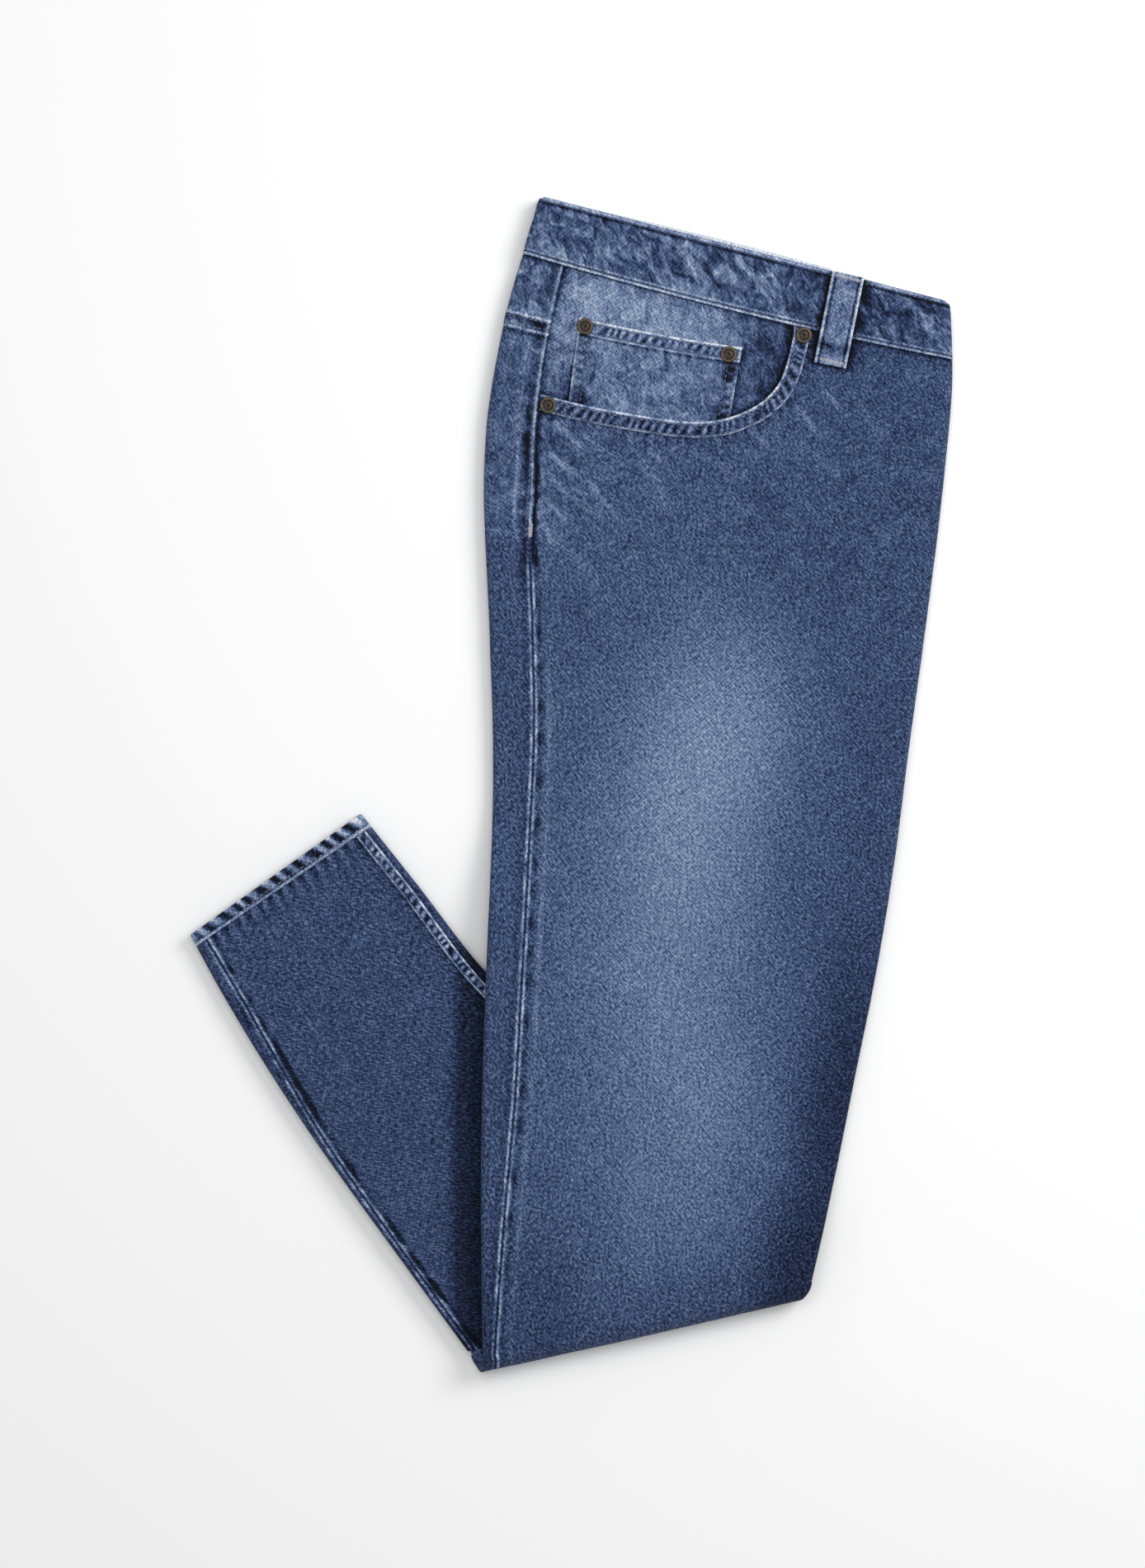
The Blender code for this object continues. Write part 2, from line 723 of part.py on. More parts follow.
def make_front_pocket(front):
    """The cut-out in the front panel, the facing behind it, the coin pocket on that, and the edge's hem."""
    opening = pocket_prism("guide_opening", 0.0)
    facing_area = pocket_prism("guide_facing", FACING_BEYOND_EDGE)
    coin_area = pocket_prism("guide_coin", -COIN_CLEARANCE)

    sections = upper_sections(TOP_GAP_AT, FACING_TO)
    facing = wall(
        "pocket_facing",
        sections,
        FRONT_AT_SIDE_SEAM,
        FRONT_AT_SIDE_SEAM + FRONT_COLUMNS - 2,
        lambda s, u: GAP,
        lambda s, u: GAP + TRIM_CLOTH,
        ("denim_faded", INDIGO_FADED),
    )
    coin = make_coin_pocket(heights(facing))
    on_front = heights(front)
    hem = make_pocket_hem(on_front)
    cut(front, opening, "DIFFERENCE")
    cut(facing, facing_area, "INTERSECT")
    cut(coin, coin_area, "INTERSECT")
    return coin, hem


def make_coin_pocket(height):
    rows = 9
    columns = 9
    across = (COIN_TOP_RIGHT - COIN_TOP_LEFT).length
    down = (COIN_LOW_LEFT - COIN_TOP_LEFT).length
    hem_share = COIN_HEM / down
    shares = [0.0, hem_share - COIN_HEM_END, hem_share + COIN_HEM_END]
    shares += [mix(hem_share, 1.0, (k + 1) / (rows - 3)) for k in range(rows - 3)]
    plan = []
    for share in shares:
        left = COIN_TOP_LEFT.lerp(COIN_LOW_LEFT, share)
        right = COIN_TOP_RIGHT.lerp(COIN_LOW_RIGHT, share)
        sag = (left - right).orthogonal().normalized() * COIN_SAG * across
        plan.append([
            left.lerp(right, j / columns) + sag * 4 * (j / columns) * (1 - j / columns)
            for j in range(columns + 1)
        ])

    def over(i, j):
        return GAP + TRIM_CLOTH + (COIN_HEM_RAISE if i < 2 else 0.0)

    return patch("coin_pocket", plan, height, GAP, over, ("denim_faded", INDIGO_FADED))


def side_seam_spot(along):
    """A place in plan on the front panel's edge at the side seam."""
    section = Section("upper", along)
    return section.left + section.across * (section.side_seam_in + 2 * GAP)


def band_seam_spot(x):
    """A place in plan on the front panel's edge at the waistband seam."""
    section = Section("upper", 0.0)
    share = (x - section.left.x) / (section.right.x - section.left.x)
    spot = section.left.lerp(section.right, share)
    spot += section.outward * (section.sag * 4.0 * share * (1.0 - share) + 3 * GAP)
    return Vector((x, spot.y))


def make_pocket_hem(height):
    """The turned and twice-stitched edge of the pocket's opening, as a band on the front panel."""
    inner = pocket_edge(0.15)
    outer = pocket_edge(POCKET_HEM)
    shares = [k / HEM_COLUMNS for k in range(HEM_COLUMNS + 1)]
    plan = [[side_seam_spot(mix(POCKET_MEETS_SIDE_AT, HEM_MEETS_SIDE_AT, share)) for share in shares]]
    for near, far in zip(inner, outer):
        if near.x > plan[0][0].x + 2.0 and max(near.y, far.y) < band_seam_spot(near.x).y - 2.0:
            plan.append([near.lerp(far, share) for share in shares])
    end = plan[-1]
    plan.append([band_seam_spot(spot.x) for spot in end])
    return patch(
        "pocket_opening_hem",
        plan,
        height,
        GAP,
        lambda i, j: GAP + TRIM_CLOTH,
        ("denim", INDIGO),
    )


def band_line(share):
    """Left end, right end and downward bow of the waistband's layers at a share of its height."""
    seam = Section("upper", 0.0)
    left = seam.left.lerp(BAND_TOP_LEFT, share)
    right = seam.right.lerp(BAND_TOP_RIGHT, share)
    return left, right, seam.sag * (1.0 - share)


def arc(u, w, radius, start, end, steps):
    """Centre-line points with normals round a fold, angles in degrees."""
    points = []
    for k in range(steps + 1):
        angle = math.radians(mix(start, end, k / steps))
        way = Vector((math.cos(angle), math.sin(angle)))
        points.append((Vector((u, w)) + way * radius, way))
    return points


def straight(start, end, w, steps, normal):
    places = [mix(start, end, (k + 1) / (steps + 1)) for k in range(steps)]
    return [(Vector((u, w)), Vector((0.0, normal))) for u in places]


def band_ribbon(width):
    """The waistband's closed line in section, round its four layers and the folds between them."""
    half = BAND_CLOTH / 2
    levels = [half + BAND_LAYER * k for k in range(4)]
    small = BAND_LAYER / 2
    left = small + half
    right = width - half - 1.5 * BAND_LAYER
    middle = (levels[1] + levels[2]) / 2
    points = arc(left, (levels[2] + levels[3]) / 2, small, 90, 270, BAND_FOLD_STEPS)
    points += straight(left, right, levels[2], BAND_COLUMNS, -1.0)
    back = arc(right, middle, small, 90, -90, BAND_FOLD_STEPS)
    points += [(p, -n) for p, n in back]
    points += straight(right, left, levels[1], BAND_COLUMNS, 1.0)
    points += arc(left, (levels[0] + levels[1]) / 2, small, 90, 270, BAND_FOLD_STEPS)
    points += straight(left, right, levels[0], BAND_COLUMNS, -1.0)
    points += arc(right, middle, 1.5 * BAND_LAYER, -90, 90, BAND_WRAP_STEPS)
    points += straight(right, left, levels[3], BAND_COLUMNS, 1.0)
    return points


def make_waistband():
    outer = []
    inner = []
    for share, inset in BAND_ROWS:
        left, right, bow = band_line(share)
        across = (right - left).normalized()
        down = Vector((across.y, -across.x))
        width = (right - left).length - 2 * inset
        row_out = []
        row_in = []
        for spot, normal in band_ribbon(width):
            for row, side in ((row_out, 1.0), (row_in, -1.0)):
                moved = spot + normal * side * BAND_CLOTH / 2
                along = moved.x / width
                bulge = 4.0 * along * (1.0 - along)
                back = BAND_LAYER < spot.y < 3 * BAND_LAYER
                rise = BAND_BACK_RISE * share * max(bulge, 0.0) ** 2 if back else 0.0
                place = left + across * (moved.x + inset) + down * (bow * bulge - rise)
                row.append(Vector((place.x, place.y, moved.y)))
        outer.append(row_out)
        inner.append(row_in)
    return cloth("waistband", outer, inner, ("denim", INDIGO), closed=True)


def make_belt_loop(height):
    """A strap over the waistband, sewn down at both ends, that stands off a little between them."""
    way = (LOOP_FOOT - LOOP_TOP).normalized()
    side = Vector((-way.y, way.x))
    plan = []
    for k in range(LOOP_STEPS + 1):
        spot = LOOP_TOP.lerp(LOOP_FOOT, k / LOOP_STEPS)
        plan.append([spot + side * LOOP_WIDTH * (j / 2 - 0.5) for j in range(3)])
    seat = [max(height(p.x, p.y) for p in row) for row in plan]
    outer = []
    inner = []
    for k, row in enumerate(plan):
        near = seat[max(k - 1, 0):k + 2]
        base = max(near) + GAP + LOOP_BOW * math.sin(math.pi * k / LOOP_STEPS)
        inner.append([Vector((p.x, p.y, base)) for p in row])
        outer.append([Vector((p.x, p.y, base + LOOP_CLOTH)) for p in row])
    return cloth("belt_loop", outer, inner, ("denim", INDIGO))


def make_rivets(height):
    for name, x, y in RIVETS:
        angles = [math.tau * k / RIVET_SIDES for k in range(RIVET_SIDES)]
        rim = [(x + RIVET_RADIUS * math.cos(a), y + RIVET_RADIUS * math.sin(a)) for a in angles]
        seat = max(height(*spot) for spot in rim + [(x, y)]) + GAP
        points = []
        faces = []
        for radius, rise in RIVET_PROFILE:
            for a in angles:
                points.append(Vector((x + radius * math.cos(a), y + radius * math.sin(a), seat + rise)))
        faces += sheet_faces(len(RIVET_PROFILE), RIVET_SIDES, 0, closed=True)
        faces.append(tuple(reversed(range(RIVET_SIDES))))
        last = (len(RIVET_PROFILE) - 1) * RIVET_SIDES
        faces.append(tuple(last + k for k in range(RIVET_SIDES)))
        solid(name, points, faces, ("antique_brass", ANTIQUE_BRASS), 35.0)


def hem_loop(width, low, high, columns, roped):
    """Outer and inner closed lines of a flattened hem band: its top from left to right, then back below."""
    radius = (high - low) / 2
    middle = (high + low) / 2
    inside = radius - HEM_CLOTH
    outline = []

    def both(u, w, way_u, way_w, dip=0.0):
        far = Vector((u + way_u * radius, w + way_w * (radius - dip)))
        near = Vector((u + way_u * inside, w + way_w * inside))
        outline.append((far, near))

    start = radius
    end = width - radius
    for k in range(1, columns):
        share = k / columns
        wave = math.cos(math.tau * ROPING_WAVES * share) if roped else 1.0
        both(mix(start, end, share), middle, 0.0, 1.0, ROPING_DEPTH * (1.0 - wave))
    for k in range(HEM_END_STEPS + 1):
        angle = math.pi / 2 - math.pi * k / HEM_END_STEPS
        both(end, middle, math.cos(angle), math.sin(angle))
    plain = max(columns // 3, 12)
    for k in range(1, plain):
        both(mix(end, start, k / plain), middle, 0.0, -1.0)
    for k in range(HEM_END_STEPS + 1):
        angle = -math.pi / 2 - math.pi * k / HEM_END_STEPS
        both(start, middle, math.cos(angle), math.sin(angle))
    return outline


def make_hem(name, low, high, roped):
    outer = []
    inner = []
    for along in (HEM_SEAM_AT, mix(HEM_SEAM_AT, 1.0, 0.5), 1.0):
        section = Section("lower", along)
        strength = roped and along > HEM_SEAM_AT
        loop = hem_loop(section.width, low, high, 4 * ROPING_WAVES if roped else 14, strength)
        for row, pick in ((outer, 0), (inner, 1)):
            row.append([])
            for pair in loop:
                spot = section.left + section.across * pair[pick].x
                row[-1].append(Vector((spot.x, spot.y, pair[pick].y)))
    return cloth(name, outer, inner, ("denim", INDIGO), closed=True)


def make_hems():
    each = (HEM_TOTAL - HEM_SPACE) / 2
    make_hem("right_hem", 0.0, each, False)
    make_hem("left_hem", each + HEM_SPACE, HEM_TOTAL, True)


def main():
    clear_scene()
    make_core()
    front = make_upper_panels()
    make_lower_panels()
    band = make_waistband()
    on_panel = heights(front, band)
    make_belt_loop(on_panel)
    coin, hem = make_front_pocket(front)
    make_rivets(heights(coin, hem))
    make_hems()


main()
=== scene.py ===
"""Looks of the folded slim jeans: fine cloth shells over the model's solids, with seams, stitches and wear.

Shapes are worked out in millimetres, in the model's own frame, and become metres when a mesh is made. The
cloth follows the same sections as the solids do: down the upper stack from the waistband seam to the fold,
round the fold, and along the lower stack to the hem. In a section, u runs from its left edge to its right one,
and w from the inside of the fold outwards.

Each point of a sheet of cloth has a tone, from dark indigo (0) to white (1), which in places also holds painted
shade and shadows, a share of marbling, which is how mottled and creased its dye looks, and a place on the flat
cloth, which the weave follows.
"""
import math

import bmesh
import bpy
import numpy as np
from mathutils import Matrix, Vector
from mathutils.bvhtree import BVHTree


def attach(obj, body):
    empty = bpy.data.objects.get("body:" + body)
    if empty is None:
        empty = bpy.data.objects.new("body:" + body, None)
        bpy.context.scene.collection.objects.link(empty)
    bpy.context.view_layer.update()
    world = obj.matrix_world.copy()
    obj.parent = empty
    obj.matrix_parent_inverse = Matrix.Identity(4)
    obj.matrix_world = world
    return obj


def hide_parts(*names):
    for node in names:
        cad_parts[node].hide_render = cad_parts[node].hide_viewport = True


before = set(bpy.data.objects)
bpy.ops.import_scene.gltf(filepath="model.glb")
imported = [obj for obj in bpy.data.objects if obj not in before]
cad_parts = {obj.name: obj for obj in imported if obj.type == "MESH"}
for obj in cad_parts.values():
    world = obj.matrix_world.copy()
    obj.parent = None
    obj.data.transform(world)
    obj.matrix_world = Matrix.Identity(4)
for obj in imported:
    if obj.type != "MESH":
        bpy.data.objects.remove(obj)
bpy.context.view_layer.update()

MM = 0.001

# Cloth and stacks of layers, as in the solids
GAP = 0.3
CLOTH = 1.2
SKIN = GAP + CLOTH
TRIM_CLOTH = 1.0
STACK_AT_BAND = 8.6
STACK_AT_HIP = 8.2
STACK_AT_FOLD = 7.4
LOWER_TOP_AT_FOLD = 8.9
LOWER_TOP_AT_HEM = 7.4
FOLD_INNER_RADIUS = 1.5
FOLD_AXIS_HEIGHT = SKIN + STACK_AT_FOLD + FOLD_INNER_RADIUS
LIFT = FOLD_AXIS_HEIGHT + FOLD_INNER_RADIUS
LIFT_FULL_TO = 12.0
LIFT_NONE_FROM = 67.0
UPPER_CROWN = 1.2
LOWER_CROWN = 0.8
TUBE_SLIT = 0.7
LIP_END = math.radians(50)
LIP_START_TILT = math.radians(8)
GROOVE_DEPTH = 0.6
BARE_LIP = 0.7
FOLD_CORNER_INSET = 6.0

# Upper stack, from the waistband seam (0) to the fold's axis (1)
UPPER = (
    # row, along, left_x, left_y, side_seam_in, right_x, right_y
    ("waistband seam", 0.000, -29.8, 321.2, 25.9, 231.0, 256.8),
    ("yoke seam", 0.050, -39.5, 287.8, 28.1, 230.1, 228.8),
    ("pocket rivet", 0.138, -50.5, 229.4, 29.9, 225.2, 180.0),
    ("hip", 0.200, -53.5, 188.2, 30.3, 221.3, 145.6),
    ("seam tack", 0.252, -53.0, 153.6, 27.6, 217.5, 116.6),
    ("thigh", 0.340, -50.3, 95.0, 26.4, 211.0, 67.7),
    ("crotch", 0.430, -48.5, 35.1, 25.4, 204.3, 17.7),
    ("mid thigh", 0.540, -48.9, -38.1, 22.8, 196.1, -43.5),
    ("above knee", 0.660, -51.9, -117.9, 21.6, 185.6, -110.2),
    ("knee", 0.770, -54.5, -191.1, 20.1, 173.1, -171.4),
    ("calf", 0.880, -55.2, -264.3, 14.4, 160.8, -232.5),
    ("fold", 1.000, -53.9, -345.6, 7.2, 144.8, -300.7),
)

# Lower stack, from the fold's axis (0) to the hem's edge (1)
LOWER = (
    # row, along, left_x, left_y, outseam_in, inseam_in, right_x, right_y
    ("fold", 0.00, -61.2, -347.2, 4.5, 8.0, 144.8, -300.7),
    ("shin", 0.20, -98.1, -296.8, 4.5, 8.0, 87.4, -246.6),
    ("low shin", 0.50, -152.0, -222.3, 5.2, 7.0, 1.7, -165.4),
    ("clear of thigh", 0.69, -184.2, -173.8, 7.7, 5.4, -52.6, -113.9),
    ("ankle", 0.86, -211.2, -129.3, 8.9, 4.4, -93.9, -61.3),
    ("hem edge", 1.00, -231.8, -91.8, 7.2, 4.2, -128.2, -18.2),
)

UPPER_OUTSEAM_IN = 6.0
UPPER_INSEAM_IN = 8.0
YOKE_SEAM_AT = 0.0624
TOP_GAP_AT = 0.0009
UPPER_LENGTH = 650.0
FOLD_LENGTH = 33.0
BAND_SEAM_SAG = 3.3
SAG_GONE_AT = 0.25
SEAM_TACK_AT = 0.252
TUBES_PART_FROM = 0.34
TUBES_PART_TO = 0.50
SEAM_WELT = 0.5
HEM_DEPTH = 9.0
LOWER_LENGTH = 350.0
HEM_SEAM_AT = 1.0 - HEM_DEPTH / LOWER_LENGTH
HEM_GAP_AT = HEM_SEAM_AT - GAP / LOWER_LENGTH
LOWER_WALLS_FROM = 0.012
WHOLE_LENGTH = UPPER_LENGTH + FOLD_LENGTH + LOWER_LENGTH
FELL_FROM = 0.62
FELL_WIDTH = 6.3
LEAST_SEAM_IN = 4.4

# Waistband
BAND_CLOTH = 2.6
BAND_LAYER = 3.0
BAND_HEIGHT = 36.0
BAND_TOP_LEFT = np.array([-19.8, 356.2])
BAND_TOP_RIGHT = np.array([229.6, 291.8])
BAND_BACK_RISE = 2.2
BAND_CORNER = 2.0

# Front pocket, opening edge from the side seam round to the waistband
POCKET_EDGE = (
    # place, x, y
    ("past the side seam", -31.0, 239.5),
    ("side rivet", -13.3, 233.8),
    ("low left", 22.8, 225.5),
    ("bottom", 73.8, 218.5),
    ("turn", 104.3, 224.5),
    ("upturn", 124.8, 240.8),
    ("front", 133.8, 267.8),
    ("band seam", 134.3, 279.0),
    ("past the band seam", 134.3, 296.0),
)
POCKET_EDGE_STEPS = 16
POCKET_HEM = 9.0
PANEL_RAISE = GAP + TRIM_CLOTH
RAISE_FULL_TO = 0.17
RAISE_NONE_FROM = 0.26
RAISE_FULL_SHARE = 0.69
RAISE_NONE_SHARE = 0.86
POCKET_MEETS_SIDE_AT = 0.1205
HEM_MEETS_SIDE_AT = 0.1342
POCKET_ROWS = (1.9, 8.1)

# Coin pocket
COIN_TOP_LEFT = np.array([4.6, 281.9])
COIN_TOP_RIGHT = np.array([102.8, 263.8])
COIN_LOW_LEFT = np.array([-2.6, 226.0])
COIN_LOW_RIGHT = np.array([93.5, 211.0])
COIN_HEM = 9.0
COIN_HEM_RAISE = 0.6
COIN_COLUMNS = 120
COIN_BOW = 0.012
COIN_ROWS = (1.8, 7.4)

# Belt loop
LOOP_TOP = np.array([167.2, 307.6])
LOOP_FOOT = np.array([156.2, 253.4])
LOOP_LENGTH = np.linalg.norm(LOOP_FOOT - LOOP_TOP)
LOOP_WAY = (LOOP_FOOT - LOOP_TOP) / LOOP_LENGTH
LOOP_SIDE = np.array([-LOOP_WAY[1], LOOP_WAY[0]])
LOOP_WIDTH = 20.0
LOOP_CLOTH = 1.8
LOOP_BOW = 0.9

# Rivets
RIVETS = (
    # name, x, y
    ("rivet_coin_pocket_left", 7.8, 276.8),
    ("rivet_coin_pocket_right", 94.8, 259.8),
    ("rivet_pocket_side", -14.6, 229.0),
    ("rivet_pocket_front", 140.3, 271.3),
)
RIVET_PROFILE = (
    # radius, height
    (5.00, 0.00),
    (5.05, 0.30),
    (4.95, 0.60),
    (4.65, 0.88),
    (4.20, 1.05),
    (3.70, 1.10),
    (3.25, 1.00),
    (2.95, 0.82),
    (2.60, 0.76),
    (2.25, 0.80),
    (2.00, 1.00),
    (1.85, 1.28),
    (1.60, 1.45),
    (1.25, 1.48),
    (1.00, 1.36),
    (0.80, 1.10),
    (0.40, 1.04),
)
RIVET_SIDES = 48

# Hems
HEM_TOTAL = 9.4
HEM_SPACE = 0.3
HEM_CLOTH = 1.9
HEM_LOW_COLUMNS = 60
ROPING_WAVES = 13
ROPING_DEPTH = 0.35


def mix(a, b, share):
    return a + (b - a) * share


def ease(value, start, end):
    """0 before start, 1 after end, and a soft curve between them."""
    share = np.clip((np.asarray(value, float) - start) / (end - start), 0.0, 1.0)
    return share * share * (3.0 - 2.0 * share)


def bell(value, middle, width):
    """1 at the middle, and softly down to nothing about two widths away."""
    return np.exp(-(((value - middle) / width) ** 2))


def fading(past, reach):
    """1 up to 0, and beyond it softly down, to a third at each reach."""
    return np.exp(-np.maximum(past, 0.0) / reach)


def direction(way):
    return way / np.linalg.norm(way)


def hermite(a, b, slope_a, slope_b, span, share):
    s2 = share * share
    s3 = s2 * share
    return (
        (2 * s3 - 3 * s2 + 1) * a
        + (s3 - 2 * s2 + share) * span * slope_a
        + (3 * s2 - 2 * s3) * b
        + (s3 - s2) * span * slope_b
    )


def track(table, column, along):
    """One column of a table of rows, on the same smooth curve through the rows as in the solids."""
    places = np.array([row[1] for row in table])
    values = np.array([row[column] for row in table])
    last = len(places) - 1
    before = np.maximum(np.arange(last + 1) - 1, 0)
    after = np.minimum(np.arange(last + 1) + 1, last)
    slopes = (values[after] - values[before]) / (places[after] - places[before])
    k = np.clip(np.searchsorted(places, along, side="right") - 1, 0, last - 1)
    span = places[k + 1] - places[k]
    share = (along - places[k]) / span
    return hermite(values[k], values[k + 1], slopes[k], slopes[k + 1], span, share)


def scatter(ix, iy, seed):
    """A fixed random-looking number from 0 to 1 for each cell of a grid."""
    value = np.sin(ix * 127.1 + iy * 311.7 + seed * 74.7) * 43758.5453
    return value - np.floor(value)


def noise(x, y, seed):
    """Smooth noise from 0 to 1, with one bump about every unit."""
    x, y = np.broadcast_arrays(np.asarray(x, float), np.asarray(y, float))
    ix = np.floor(x)
    iy = np.floor(y)
    fx = x - ix
    fy = y - iy
    fx = fx * fx * (3 - 2 * fx)
    fy = fy * fy * (3 - 2 * fy)
    low = mix(scatter(ix, iy, seed), scatter(ix + 1, iy, seed), fx)
    high = mix(scatter(ix, iy + 1, seed), scatter(ix + 1, iy + 1, seed), fx)
    return mix(low, high, fy)


def rough(x, y, seed, octaves=3):
    """Noise with finer noise on it, from about -0.5 to 0.5."""
    total = np.zeros(np.broadcast(x, y).shape)
    size = 0.5
    for k in range(octaves):
        total += size * (noise(np.asarray(x) * 2**k, np.asarray(y) * 2**k, seed + k) - 0.5)
        size *= 0.6
    return total * 1.6


def puckers(along, pitch, size, seed, uneven=2.0, across=0.0):
    """Ripples from -1 to 1 along a seam, at an uneven pitch."""
    return np.sin(along * 2 * math.pi / pitch + uneven * noise(along / size, across, seed))


def cumulated(steps):
    """Distance along a row of steps, from 0."""
    return np.concatenate([np.zeros(steps.shape[:-1] + (1,)), np.cumsum(steps, axis=-1)], axis=-1)


LEG_EDGE_START = np.array(LOWER[-1][6:8])
LEG_EDGE_END = np.array(LOWER[0][6:8])


def lift(x, y):
    """How far the lower legs hold the upper stack up."""
    along = (LEG_EDGE_END - LEG_EDGE_START) / np.linalg.norm(LEG_EDGE_END - LEG_EDGE_START)
    past = along[0] * (y - LEG_EDGE_START[1]) - along[1] * (x - LEG_EDGE_START[0])
    return LIFT * (1.0 - ease(past, LIFT_FULL_TO, LIFT_NONE_FROM))


ZERO_ROWS = ("turn", "top", "sag", "part", "bare_in", "bare_out", "crown_in", "crown_out")


def section_rows(count, **given):
    """Values of a run's sections. One number stands for all of them, and what isn't given is 0."""
    rows = {**dict.fromkeys(ZERO_ROWS, 0.0), **given}
    return {name: value if np.ndim(value) else np.full(count, float(value)) for name, value in rows.items()}


def plan_track(table, column, along):
    """Places in plan, from a column of x and the column of y beside it."""
    return np.stack([track(table, column, along), track(table, column + 1, along)], axis=1)


def upper_rows(t):
    t = np.asarray(t, float)
    by_hip = mix(STACK_AT_BAND, STACK_AT_HIP, ease(t, 0.0, 0.2))
    return section_rows(
        len(t),
        zone=0,
        share=t,
        left=plan_track(UPPER, 2, t),
        right=plan_track(UPPER, 5, t),
        side=track(UPPER, 4, t),
        stack=mix(by_hip, STACK_AT_FOLD, ease(t, 0.2, 1.0)),
        sag=BAND_SEAM_SAG * (1.0 - ease(t, 0.0, SAG_GONE_AT)),
        part=ease(t, TUBES_PART_FROM, TUBES_PART_TO),
        bare_in=BARE_LIP,
        crown_out=UPPER_CROWN,
        outseam=UPPER_OUTSEAM_IN,
        inseam=UPPER_INSEAM_IN,
        length=t * UPPER_LENGTH,
    )


def fold_rows(angles):
    angles = np.asarray(angles, float)
    share = angles / 180.0
    start = np.array(UPPER[-1][2:4])
    right = np.array(UPPER[-1][5:7])
    sideways = FOLD_CORNER_INSET * np.sin(np.radians(angles)) ** 2
    return section_rows(
        len(angles),
        zone=1,
        share=share,
        turn=np.radians(angles),
        left=mix(start, np.array(LOWER[0][2:4]), ease(share, 0.0, 1.0)[:, None]),
        right=right - direction(right - start) * sideways[:, None],
        side=UPPER[-1][4] + share,
        stack=STACK_AT_FOLD,
        part=1,
        bare_in=BARE_LIP,
        crown_out=UPPER_CROWN * (1.0 - ease(share, 0.0, 0.9)),
        outseam=mix(UPPER_OUTSEAM_IN, LOWER[0][4], share),
        inseam=UPPER_INSEAM_IN,
        length=UPPER_LENGTH + share * FOLD_LENGTH,
    )


def lower_rows(v):
    v = np.asarray(v, float)
    top = mix(LOWER_TOP_AT_FOLD, LOWER_TOP_AT_HEM, ease(v, 0.55, 1.0))
    return section_rows(
        len(v),
        zone=2,
        share=v,
        turn=math.pi,
        left=plan_track(LOWER, 2, v),
        right=plan_track(LOWER, 6, v),
        side=8.0,
        stack=top,
        top=top,
        part=1,
        bare_out=BARE_LIP,
        crown_in=LOWER_CROWN * ease(v, 0.05, 0.4) * (1.0 - ease(v, 0.85, 1.0)),
        outseam=np.maximum(track(LOWER, 4, v), LEAST_SEAM_IN),
        inseam=np.maximum(track(LOWER, 5, v), LEAST_SEAM_IN),
        length=UPPER_LENGTH + FOLD_LENGTH + v * LOWER_LENGTH,
    )


